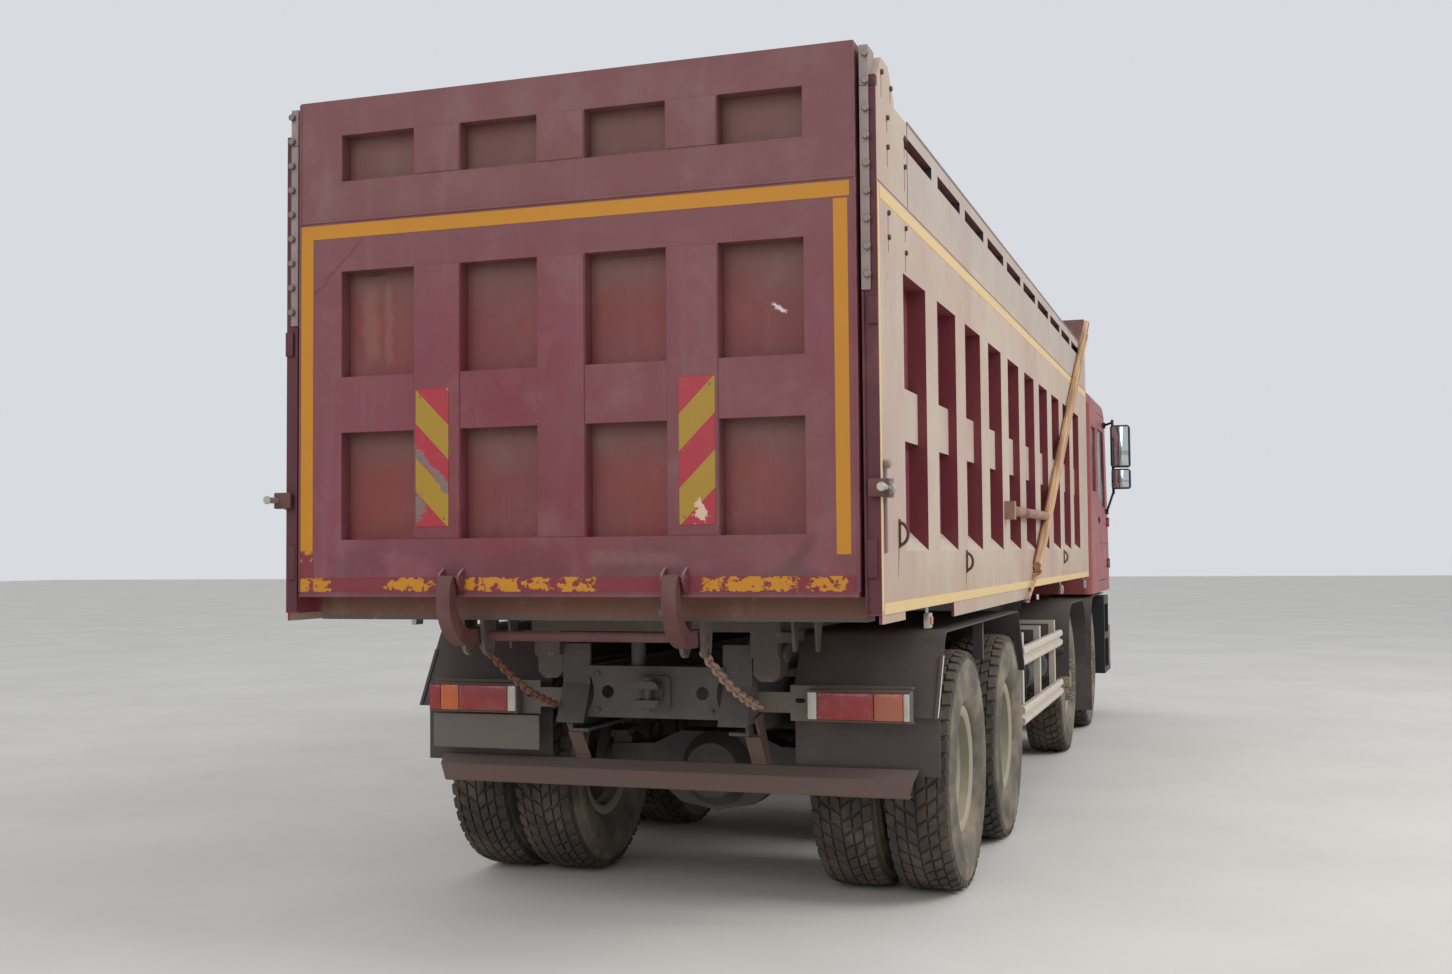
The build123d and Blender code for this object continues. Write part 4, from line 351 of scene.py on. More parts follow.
@dataclass(frozen=True)
class BodySidePaint:
    """Wine-red paint whose outward faces are dusted and lit by painted sunlight to a pinkish beige.

    Attributes:
        wine: the paint where it is clean.
        faded: the paint where it has faded.
        dust_and_sunlight: the outward faces, dust with painted sunlight on it.
        pink: patches on them.
        drip: scars and drips.
        sky_reflection: painted reflection of the sky on the upper boards of the side.
        slot: painted shade inside the slots.
        face_y: the outward faces' distance from the truck's middle.
        slot_z: foot and head of the slots.
        slot_y: distance from the middle up to which the painted shade reaches.
        sky_reflection_z: heights between which the painted sky reflection on the upper boards sets in.
        sky_reflection_x: the same, from the rear.
    """

    wine: Shade = tone(114, 38, 50)
    faded: Shade = tone(122, 52, 60)
    dust_and_sunlight: Shade = tone(188, 174, 156)
    pink: Shade = tone(180, 156, 142)
    drip: Shade = tone(104, 84, 70)
    sky_reflection: Shade = tone(162, 160, 158)
    slot: Shade = tone(70, 52, 60)
    face_y: float = 1.200
    slot_z: Spot = (3.185, 3.240)
    slot_y: float = 1.249
    sky_reflection_z: Spot = (2.96, 3.05)
    sky_reflection_x: Spot = (GATE + 0.54, GATE + 0.60)

    def make(self) -> bpy.types.Material:
        """Build the node tree.

        Returns:
            The material.
        """
        g = Graph("body_side_paint")
        across = g.sum("ABSOLUTE", g.axis(Along.Y))
        facing = g.step(g.sum("ABSOLUTE", g.axis(Along.Y, g.normal)), 0.45, 0.60)
        outer = g.times(g.step(across, self.face_y - 0.004, self.face_y + 0.004), facing)
        up = g.step(g.axis(Along.Z, g.normal), 0.25, 0.60)
        worn = g.patches(2.2, 0.25, 0.75)
        base = g.blend(worn, self.wine, self.faded)
        base = g.layer(base, tone(140, 92, 84), g.patches(6.0, 0.45, 0.85, (1, 1, 0.4)), 0.25)
        # Outward faces take a veil of dust with painted sunlight, in pinker and paler patches.
        veil = g.blend(g.patches(1.4, 0.3, 0.7, (1, 1, 0.7)), self.dust_and_sunlight, self.pink)
        veil = g.layer(veil, tone(194, 182, 168), g.patches(0.5, 0.45, 0.7), 0.35)
        share = g.sum("ADD", 0.80, g.times(g.noise(5.0), 0.30))
        base = g.blend(g.sum("MULTIPLY", outer, share, clamp=True), base, veil)
        # Upward faces take the same dust and painted sunlight.
        base = g.layer(base, self.dust_and_sunlight, up, 0.85)
        height = g.axis(Along.Z)
        # Painted reflection of the sky: a pale grey over the outward faces of the upper boards.
        sky_reflection = g.times(g.step(height, *self.sky_reflection_z), g.step(g.axis(Along.X), *self.sky_reflection_x))
        base = g.layer(base, self.sky_reflection, sky_reflection, outer, 0.35)
        # Painted shade: the slots' insides, behind the outward face, are darkened.
        foot, head = self.slot_z
        over = g.step(height, foot - EDGE, foot + EDGE)
        slot = g.times(over, g.step(height, head + EDGE / 2, head - EDGE / 2))
        slot = g.times(slot, g.step(across, self.slot_y + EDGE / 2, self.slot_y - EDGE / 2))
        base = g.blend(slot, base, self.slot)
        low = g.times(g.step(height, 1.62, 1.40), g.patches(3.0, 0.3, 0.7, (1, 1, 0.5)))
        base = g.layer(base, tone(170, 140, 112), low, outer, 0.55)
        scars = g.patches(7.0, 0.72, 0.745, (1, 1, 0.35), 9.0)
        base = g.layer(base, self.drip, scars, 0.6)
        streak = g.patches(10.0, 0.58, 0.80, (1.8, 1.8, 0.07))
        base = g.layer(base, self.drip, streak, 0.30)
        fine = g.patches(34.0, 0.66, 0.74, (1.6, 1.6, 0.10), 7.0)
        base = g.layer(base, tone(84, 62, 54), fine, 0.30)
        dents = g.sum("ADD", g.noise(1.8, 2.0), g.times(g.noise(40.0, 6.0), 0.06))
        return g.finish(base, g.sum("ADD", 0.55, g.times(worn, 0.3)), dents, 0.012)


@dataclass(frozen=True)
class GatePaint:
    """Tailgate paint: purple-maroon frame, browner dusty pockets with painted shadow across their tops,
    scratches and scuffs.

    Attributes:
        maroon: patches low on the frame.
        brown: the frame elsewhere.
        pocket: the pockets.
        dust: dust on ledges and in drips.
        scuff: grime along the foot.
    """

    maroon: Shade = tone(121, 56, 68)
    brown: Shade = tone(117, 70, 72)
    pocket: Shade = tone(114, 58, 54)
    dust: Shade = tone(142, 112, 110)
    scuff: Shade = tone(70, 52, 46)

    def make(self) -> bpy.types.Material:
        """Build the node tree.

        Returns:
            The material.
        """
        g = Graph("gate_paint")
        height = g.axis(Along.Z)
        across = g.axis(Along.Y)
        low = g.step(height, 3.0, 2.4)
        tint = g.layer(self.brown, self.maroon, low, g.patches(0.9, 0.3, 0.65, (1, 1, 0.6)))
        stain = g.step(g.sum("ABSOLUTE", g.sum("ADD", across, -0.1)), 0.75, 0.1)
        wine = g.times(stain, low, g.patches(1.6, 0.35, 0.6, (1, 1, 0.35)))
        tint = g.layer(tint, tone(118, 36, 54), wine, 0.7)
        deep = g.step(g.axis(Along.X), GATE + 0.050, GATE + 0.060)
        tint = g.layer(tint, self.pocket, deep, 0.85)
        tint = g.layer(tint, self.dust, g.patches(4.0, 0.45, 0.8), 0.35)
        drips = g.patches(11.0, 0.5, 0.85, (1, 1.4, 0.08))
        tint = g.layer(tint, self.dust, drips, 0.22)
        scratch = g.patches(16.0, 0.715, 0.735, (1, 0.5, 2.2), 10.0)
        tint = g.layer(tint, tone(164, 140, 128), scratch, 0.55)
        grime = g.times(g.step(height, 1.75, 1.48), g.patches(5.0, 0.42, 0.62, (1, 0.7, 1.3)))
        tint = g.layer(tint, self.scuff, grime, 0.45)
        up = g.step(g.axis(Along.Z, g.normal), 0.3, 0.8)
        tint = g.layer(tint, self.dust, up, 0.8)
        # Painted shadow of the rails: the top of each row of pockets turns greyer and darker, fading
        # downwards.
        shade = g.sum(
            "MAXIMUM", g.step(height, 2.50, 2.74),
            g.times(g.step(height, 1.86, 2.07), g.step(height, 2.12, 2.10)),
        )
        tint = g.layer(tint, tone(106, 80, 70), deep, shade, 0.55)
        warm = g.times(deep, g.sum("SUBTRACT", 1.0, shade))
        tint = g.layer(tint, tone(132, 50, 48), warm, g.times(g.patches(1.8, 0.35, 0.65), 0.5))
        fray = g.times(g.sum("ADD", g.noise(22.0, 8.0), -0.5), 0.05)
        outside = g.step(g.axis(Along.X), GATE + 0.09, GATE + 0.08)
        for start, end, width, mark, share in GATE_MARKS:
            stroke = g.times(g.stroke(start, end, width, fray), outside)
            tint = g.layer(tint, mark, stroke, share)
        dents = g.sum("ADD", g.noise(2.6, 2.0), g.times(g.noise(50.0, 6.0), 0.05))
        return g.finish(tint, g.sum("ADD", 0.5, g.times(g.noise(6.0), 0.3)), dents, 0.010)


@dataclass(frozen=True)
class CabPaint:
    """Red cab enamel under a film of dust, darker in the grille field and along the bumper's foot.

    Attributes:
        red: the enamel.
        dust: the film on it.
        dark: behind the grille's slats.
        slat: the slats.
        mud: splashes and specks low down.
        foot: the bumper's foot.
        grille_z: foot and head of the grille field.
        grille_y: its half width.
        grille_x: rear end of the cab's front face.
        slat_x: how far forward the slats begin.
        foot_z: head of the bumper's foot.
    """

    red: Shade = tone(140, 38, 44)
    dust: Shade = tone(174, 134, 128)
    dark: Shade = tone(24, 24, 26)
    slat: Shade = tone(74, 70, 68)
    mud: Shade = tone(122, 96, 82)
    foot: Shade = tone(48, 46, 45)
    grille_z: Spot = (1.310, 1.800)
    grille_y: float = 0.760
    grille_x: float = 5.000
    slat_x: float = 5.0925
    foot_z: float = 0.484

    def make(self) -> bpy.types.Material:
        """Build the node tree.

        Returns:
            The material.
        """
        g = Graph("cab_paint")
        height = g.axis(Along.Z)
        forward = g.axis(Along.X)
        across = g.sum("ABSOLUTE", g.axis(Along.Y))
        film = g.sum("ADD", 0.10, g.times(g.patches(1.3, 0.3, 0.8), 0.16))
        tint = g.blend(film, self.red, self.dust)
        streaks = g.patches(9.0, 0.5, 0.85, (1.2, 1.2, 0.12))
        tint = g.layer(tint, self.dust, streaks, 0.16)
        tint = g.layer(tint, self.dust, g.step(g.axis(Along.Z, g.normal), 0.2, 0.9), 0.38)
        splash = g.times(g.step(height, 1.9, 0.7), g.patches(3.5, 0.3, 0.7))
        tint = g.layer(tint, self.mud, splash, 0.35)
        specks = g.times(g.patches(60.0, 0.63, 0.67), g.step(height, 2.0, 1.0))
        tint = g.layer(tint, self.mud, specks, 0.5)
        low, high = self.grille_z
        grille = g.times(g.step(height, low - EDGE, low + EDGE), g.step(height, high + EDGE, high - EDGE))
        grille = g.times(grille, g.step(across, self.grille_y + EDGE, self.grille_y - EDGE))
        grille = g.times(grille, g.step(forward, self.grille_x, self.grille_x + 0.01))
        slats = g.step(forward, self.slat_x - EDGE, self.slat_x + EDGE)
        tint = g.blend(grille, tint, g.blend(slats, self.dark, self.slat))
        foot = g.step(height, self.foot_z + 2 * EDGE, self.foot_z - 2 * EDGE)
        tint = g.layer(tint, self.foot, foot, g.step(forward, 4.70, 4.72))
        rough = g.sum("ADD", 0.34, g.times(g.noise(5.0), 0.25))
        return g.finish(tint, rough, g.noise(2.2, 2.0), 0.004)


@dataclass(frozen=True)
class WornCoat:
    """A plain coat under dust, with chips that show what is below.

    Attributes:
        name: the material's name.
        coat: the clean colour.
        dust: the dust's colour.
        chip: the colour where the coat is gone.
        dusty: share of the surface under dust, 0 to 1.
        chipped: share that is chipped.
        rough: roughness of the clean coat.
        metal: share of bare metal.
        grain: depth of the surface's grain, in metres.
        patch: patches a metre.
        foot: height below which the coat turns to the foot's colour, or 0.
        foot_coat: the colour down there.
    """

    name: str
    coat: Shade
    dust: Shade
    chip: Shade
    dusty: float = 0.5
    chipped: float = 0.1
    rough: float = 0.6
    metal: float = 0.0
    grain: float = 0.002
    patch: float = 5.0
    foot: float = 0.0
    foot_coat: Shade = tone(88, 78, 71)

    def make(self) -> bpy.types.Material:
        """Build the node tree.

        Returns:
            The material.
        """
        g = Graph(self.name)
        veil = g.patches(self.patch, 0.75 - self.dusty * 0.6, 0.95 - self.dusty * 0.4)
        coat = self.coat
        if self.foot:
            lower = g.step(g.axis(Along.Z), self.foot + 0.012, self.foot - 0.012)
            coat = g.blend(lower, self.coat, self.foot_coat)
        colour = g.layer(coat, self.dust, veil, 0.85)
        up = g.step(g.axis(Along.Z, g.normal), 0.2, 0.9)
        colour = g.layer(colour, self.dust, up, self.dusty)
        chips = g.patches(self.patch * 3, 0.80 - self.chipped * 0.5, 0.83 - self.chipped * 0.5, detail=9.0)
        colour = g.layer(colour, self.chip, chips, 0.8)
        rough = g.sum("ADD", self.rough, g.times(veil, 0.9 - self.rough), clamp=True)
        height = g.sum("ADD", g.noise(self.patch * 8, 8.0), g.times(chips, -0.4))
        return g.finish(colour, rough, height, self.grain, self.metal)


@dataclass(frozen=True)
class FlakedTape:
    """Marking tape that has flaked off to the paint below.

    Attributes:
        name: the material's name.
        tape: the tape's colour.
        under: the paint's colour.
        aged: the tape's colour where it has faded.
        left: share of tape that is left, 0 to 1.
        islands: where tape is left at all, as pairs of places across the truck.
        low: height below which the tape has flaked away.
    """

    name: str
    tape: Shade = tone(188, 124, 0)
    under: Shade = tone(120, 46, 54)
    aged: Shade = tone(170, 112, 10)
    left: float = 0.95
    islands: tuple[tuple[float, float], ...] = ()
    low: float = 0.0

    def make(self) -> bpy.types.Material:
        """Build the node tree.

        Returns:
            The material.
        """
        g = Graph(self.name)
        ragged = g.noise(16.0, 9.0, (1, 1, 1.4), 0.7)
        level = 0.5 + (self.left - 0.5) * 0.52
        gone = g.step(ragged, level, level + 0.012)
        if self.islands:
            across = g.sum("ADD", g.axis(Along.Y), g.times(g.sum("ADD", ragged, -0.5), 0.16))
            kept = 0.0
            for start, end in self.islands:
                middle, reach = (start + end) / 2, abs(start - end) / 2 + 0.006
                off = g.sum("ABSOLUTE", g.sum("ADD", across, -middle))
                kept = g.sum("MAXIMUM", kept, g.step(off, reach + 0.002, reach - 0.002))
            fray = g.step(g.noise(26.0, 6.0, (1, 1, 1.2)), 0.55, 0.58)
            edge = g.times(g.sum("ADD", g.noise(19.0, 8.0, (1, 1, 1), 0.7), -0.5), 0.13)
            rise = g.sum("ADD", g.sum("ABSOLUTE", g.sum("ADD", g.axis(Along.Z), -REST_Z)), edge)
            kept = g.times(kept, g.step(rise, 0.029, 0.026))
            gone = g.sum("SUBTRACT", 1.0, g.times(kept, g.sum("SUBTRACT", 1.0, fray)), clamp=True)
        if self.low:
            height = g.sum("ADD", g.axis(Along.Z), g.times(g.sum("ADD", ragged, -0.5), 0.35))
            gone = g.sum("MAXIMUM", gone, g.step(height, self.low + 0.004, self.low - 0.004))
        tape = g.layer(self.tape, self.aged, g.patches(5.0, 0.4, 0.8), 0.3)
        tape = g.layer(tape, tone(158, 112, 62), g.patches(30.0, 0.62, 0.7), 0.35)
        rough = g.sum("ADD", 0.56, g.times(gone, 0.2))
        return g.finish(g.blend(gone, tape, self.under), rough)


@dataclass(frozen=True)
class HazardBoard:
    """Slanting yellow and red bars, with patches worn back to the plate.

    Attributes:
        name: the material's name.
        lean: 1 where the bars rise to the right, -1 where they fall.
        start: where a yellow bar begins along the slant.
        pitch: from one yellow bar to the next.
        torn: where along the slant the board is torn, or 0.
        hole: a worn spot and its radius, as (across, height, radius).
        bare: the colour below.
        yellow: colour of the yellow bars.
        red: colour of the bars between them.
    """

    name: str
    lean: float
    start: float
    pitch: float
    torn: float
    hole: Point
    bare: Shade
    yellow: Shade = tone(159, 125, 20)
    red: Shade = tone(162, 32, 48)

    def make(self) -> bpy.types.Material:
        """Build the node tree.

        Returns:
            The material.
        """
        g = Graph(self.name)
        slant = g.sum("ADD", g.axis(Along.Z), g.times(g.axis(Along.Y), self.lean))
        wave = g.sum("FRACT", g.sum("DIVIDE", g.sum("ADD", slant, -self.start), self.pitch))
        bars = g.times(g.step(wave, 0.0, 0.010), g.step(wave, 0.510, 0.500))
        colour = g.blend(bars, self.red, self.yellow)
        colour = g.layer(colour, tone(150, 96, 70), g.patches(22.0, 0.5, 0.8), 0.22)
        ragged = g.times(g.sum("ADD", g.noise(20.0, 9.0, (1, 1, 1.3), 0.7), -0.5), 0.14)
        away = g.sum("ABSOLUTE", g.sum("ADD", g.sum("ADD", slant, -self.torn), ragged))
        lost = g.step(away, 0.026, 0.022)
        y = g.sum("ADD", g.axis(Along.Y), -self.hole[0])
        z = g.times(g.sum("ADD", g.axis(Along.Z), -self.hole[1]), 0.6)
        reach = g.sum("SQRT", g.sum("ADD", g.times(y, y), g.times(z, z)))
        spot = g.step(g.sum("ADD", reach, ragged), self.hole[2], self.hole[2] - 0.004)
        return g.finish(g.blend(g.sum("MAXIMUM", lost, spot), colour, self.bare), 0.4)


@dataclass(frozen=True)
class LampLens:
    """A moulded lens with fine prisms and a film of dust."""

    name: str
    tint: Shade
    dust: Shade = tone(140, 112, 96)
    prisms: float = 620.0

    def make(self) -> bpy.types.Material:
        """Build the node tree.

        Returns:
            The material.
        """
        g = Graph(self.name)
        film = g.patches(14.0, 0.4, 0.8)
        colour = g.layer(self.tint, self.dust, film, 0.35)
        ribs = g.sum("SINE", g.times(g.axis(Along.Y), self.prisms))
        g.shader.inputs["Coat Weight"].default_value = 0.4
        return g.finish(colour, g.sum("ADD", 0.22, g.times(film, 0.3)), ribs, 0.0006)


@dataclass(frozen=True)
class DustyGlass:
    """Tinted pane with dust towards its edges."""

    name: str = "dusty_glass"

    def make(self) -> bpy.types.Material:
        """Build the node tree.

        Returns:
            The material.
        """
        g = Graph(self.name)
        film = g.patches(3.0, 0.35, 0.8)
        g.wire(g.sum("ADD", 0.62, g.times(film, 0.25)), g.shader.inputs["Alpha"])
        return g.finish(
            g.blend(film, tone(38, 52, 54), tone(96, 96, 88)),
            g.sum("ADD", 0.06, g.times(film, 0.3)),
        )


@dataclass(frozen=True)
class StowedPoles:
    """Sun-bleached battens with grain along their lean, and a rusty tube beside them."""

    name: str = "weathered_timber"
    foot: Spot = (GATE + 4.230, 1.500)
    lean: float = 1.787

    def make(self) -> bpy.types.Material:
        """Build the node tree.

        Returns:
            The material.
        """
        g = Graph(self.name)
        turned = g.node("ShaderNodeMapping", vector_type="POINT")
        g.wire(g.place, turned.inputs[0])
        turned.inputs[2].default_value = (0.0, math.atan2(1.0, self.lean), 0.0)
        streaks = g.node("ShaderNodeTexNoise")
        squeeze = g.node("ShaderNodeMapping")
        squeeze.inputs[3].default_value = (0.6, 26.0, 26.0)
        g.wire(turned.outputs[0], squeeze.inputs[0])
        g.wire(squeeze.outputs[0], streaks.inputs["Vector"])
        streaks.inputs["Scale"].default_value = 3.0
        streaks.inputs["Detail"].default_value = 6.0
        grain = streaks.outputs["Fac"]
        colour = g.blend(g.step(grain, 0.35, 0.65), tone(204, 166, 128), tone(150, 112, 80))
        colour = g.layer(colour, tone(128, 96, 74), g.patches(3.0, 0.45, 0.75), 0.4)
        behind = g.sum("ADD", g.axis(Along.X), g.times(g.axis(Along.Z), -self.lean))
        back = self.foot[0] - self.foot[1] * self.lean
        tube = g.step(behind, back - 0.13, back - 0.15)
        rust = g.blend(g.patches(7.0, 0.4, 0.7), tone(160, 122, 104), tone(112, 72, 54))
        return g.finish(g.blend(tube, colour, rust), 0.75, grain, 0.0006)


@dataclass(frozen=True)
class WovenSeat:
    """Grey woven seat cloth with a fine check."""

    name: str = "woven_seat"
    threads: float = 1500.0

    def make(self) -> bpy.types.Material:
        """Build the node tree.

        Returns:
            The material.
        """
        g = Graph(self.name)
        weft = g.sum("SINE", g.times(g.axis(Along.Y), self.threads))
        warp = g.sum("SINE", g.times(g.sum("ADD", g.axis(Along.X), g.axis(Along.Z)), self.threads))
        weave = g.times(weft, warp)
        colour = g.blend(g.step(weave, -0.6, 0.6), tone(48, 50, 54), tone(72, 74, 78))
        colour = g.layer(colour, tone(110, 98, 84), g.patches(6.0, 0.45, 0.8), 0.4)
        return g.finish(colour, 0.9, weave, 0.0008)


# Each coat: its name, the colours of coat, dust and chips, then the shares that are dusty and
# chipped, the roughness and, where they are set, the share of metal, the grain and other settings.
COATS: dict[str, tuple[str, Rgb, Rgb, Rgb, tuple[float, ...], dict[str, float]]] = {
    "floor": (
        "bed_steel", (112, 74, 56), (134, 118, 102), (124, 110, 98), (0.36, 0.3, 0.6), {"foot": 1.352}
    ),
    "chassis": ("chassis_coat", (75, 72, 72), (104, 97, 93), (88, 68, 58), (0.6, 0.12), {}),
    "rust": ("rusty_channel", (104, 82, 74), (98, 89, 86), (142, 112, 84), (0.5, 0.2, 0.8), {"patch": 2.4}),
    "hook": ("worn_forging", (92, 52, 50), (110, 84, 76), (66, 46, 40), (0.45, 0.3, 0.6), {}),
    "rim": ("rim_coat", (150, 142, 122), (170, 158, 134), (112, 86, 62), (0.5, 0.15, 0.55), {}),
    "hub": ("hub_casting", (112, 96, 78), (164, 148, 120), (90, 66, 48), (0.55, 0.15, 0.6), {}),
    "stud": ("stud_steel", (120, 112, 100), (150, 138, 118), (96, 66, 44), (0.4, 0.2, 0.45, 0.5), {}),
    "tread": ("tread_rubber", (58, 53, 49), (100, 86, 74), (40, 38, 36), (0.62, 0.0, 0.85), {}),
    "sidewall": ("sidewall_rubber", (88, 80, 71), (140, 128, 110), (58, 54, 50), (0.62, 0.0, 0.8), {}),
    "flap": ("flap_rubber", (76, 68, 66), (104, 91, 86), (58, 52, 50), (0.5, 0.02, 0.8), {"patch": 2.0}),
    "plastic": ("grained_plastic", (30, 31, 33), (86, 80, 72), (24, 24, 26), (0.32, 0.0, 0.5), {}),
    "tank": ("tank_metal", (120, 116, 110), (134, 120, 102), (92, 72, 58), (0.45, 0.08, 0.45, 0.3), {}),
    "air": ("air_tank_coat", (44, 44, 46), (104, 94, 82), (86, 62, 46), (0.5, 0.06, 0.5), {}),
    "engine": ("engine_casting", (72, 74, 70), (104, 94, 80), (60, 46, 38), (0.5, 0.1, 0.6, 0.1), {}),
    "chrome": ("ram_steel", (168, 168, 166), (140, 130, 118), (120, 110, 100), (0.2, 0.05, 0.25, 0.9), {}),
    "pale_chain": (
        "pale_rusty_chain", (150, 118, 104), (166, 140, 124), (104, 70, 54), (0.5, 0.2, 0.7), {}
    ),
    "chain": ("rusty_chain", (118, 76, 56), (134, 104, 86), (74, 50, 40), (0.4, 0.3, 0.75), {}),
    "plate": ("blank_plate", (104, 95, 88), (116, 104, 95), (84, 76, 70), (0.55, 0.04, 0.55), {}),
    "bright": ("bright_trim", (178, 174, 166), (168, 154, 136), (120, 100, 84), (0.3, 0.05, 0.3, 0.6), {}),
    "gap": ("pale_edge", (196, 186, 172), (176, 160, 140), (120, 96, 80), (0.4, 0.1, 0.6), {}),
    # Dark maroon for the post, drips and seams, also laid as painted shadow beside the gate's flange.
    "post": ("post_coat_and_painted_shadow", (84, 38, 46), (112, 74, 72), (66, 40, 38), (0.35, 0.1, 0.7), {}),
    # Pale coat of the flange, latch handle and lip: dust with painted sunlight over the maroon.
    "flange": ("pale_dust_and_sunlight", (142, 124, 122), (164, 146, 142), (112, 82, 78), (0.5, 0.15, 0.7), {}),
    "head": ("headboard_coat", (118, 78, 76), (150, 120, 104), (92, 56, 52), (0.5, 0.1, 0.7), {}),
    "mirror": (
        "mirror_face", (196, 204, 210), (170, 166, 158), (120, 118, 114), (0.15, 0.0, 0.06, 0.95, 0.0), {}
    ),
}


class Paints:
    """Every finish of the truck, made once."""

    def __init__(self) -> None:
        """Build the materials by their plain names."""
        finishes = {
            "side": BodySidePaint(),
            "gate": GatePaint(),
            "cab": CabPaint(),
            "tape": FlakedTape("gate_tape"),
            "worn_tape": FlakedTape("flaked_gate_tape", islands=REST_TAPE),
            "torn_tape": FlakedTape("torn_gate_tape", low=1.60),
            # The side tape's under colour is the side's dust with painted sunlight.
            "cream": FlakedTape(
                "side_tape", tone(214, 184, 128), tone(182, 160, 142), tone(202, 180, 144), 0.93
            ),
            "board_left": HazardBoard(
                "hazard_board_left", -1.0, 1.488, 0.27, 1.375, (0.622, 1.79, 0.034), tone(122, 98, 92)
            ),
            "board_right": HazardBoard(
                "hazard_board_right", 1.0, 1.490, 0.28, 0.0, (-0.572, 1.745, 0.020), tone(206, 176, 150)
            ),
            "dull": LampLens("dull_amber_lens", tone(176, 92, 60)),
            "red": LampLens("red_lens", tone(148, 20, 28)),
            "amber": LampLens("amber_lens", tone(204, 96, 30)),
            "clear": LampLens("clear_lens", tone(196, 190, 180)),
            "glass": DustyGlass(),
            "timber": StowedPoles(),
            "cloth": WovenSeat(),
        }
        for key, (name, coat, dust, chip, shares, others) in COATS.items():
            finishes[key] = WornCoat(name, tone(*coat), tone(*dust), tone(*chip), *shares, **others)
        self.made = {key: finish.make() for key, finish in finishes.items()}

    def __getitem__(self, key: str) -> bpy.types.Material:
        """The material of this plain name."""
        return self.made[key]


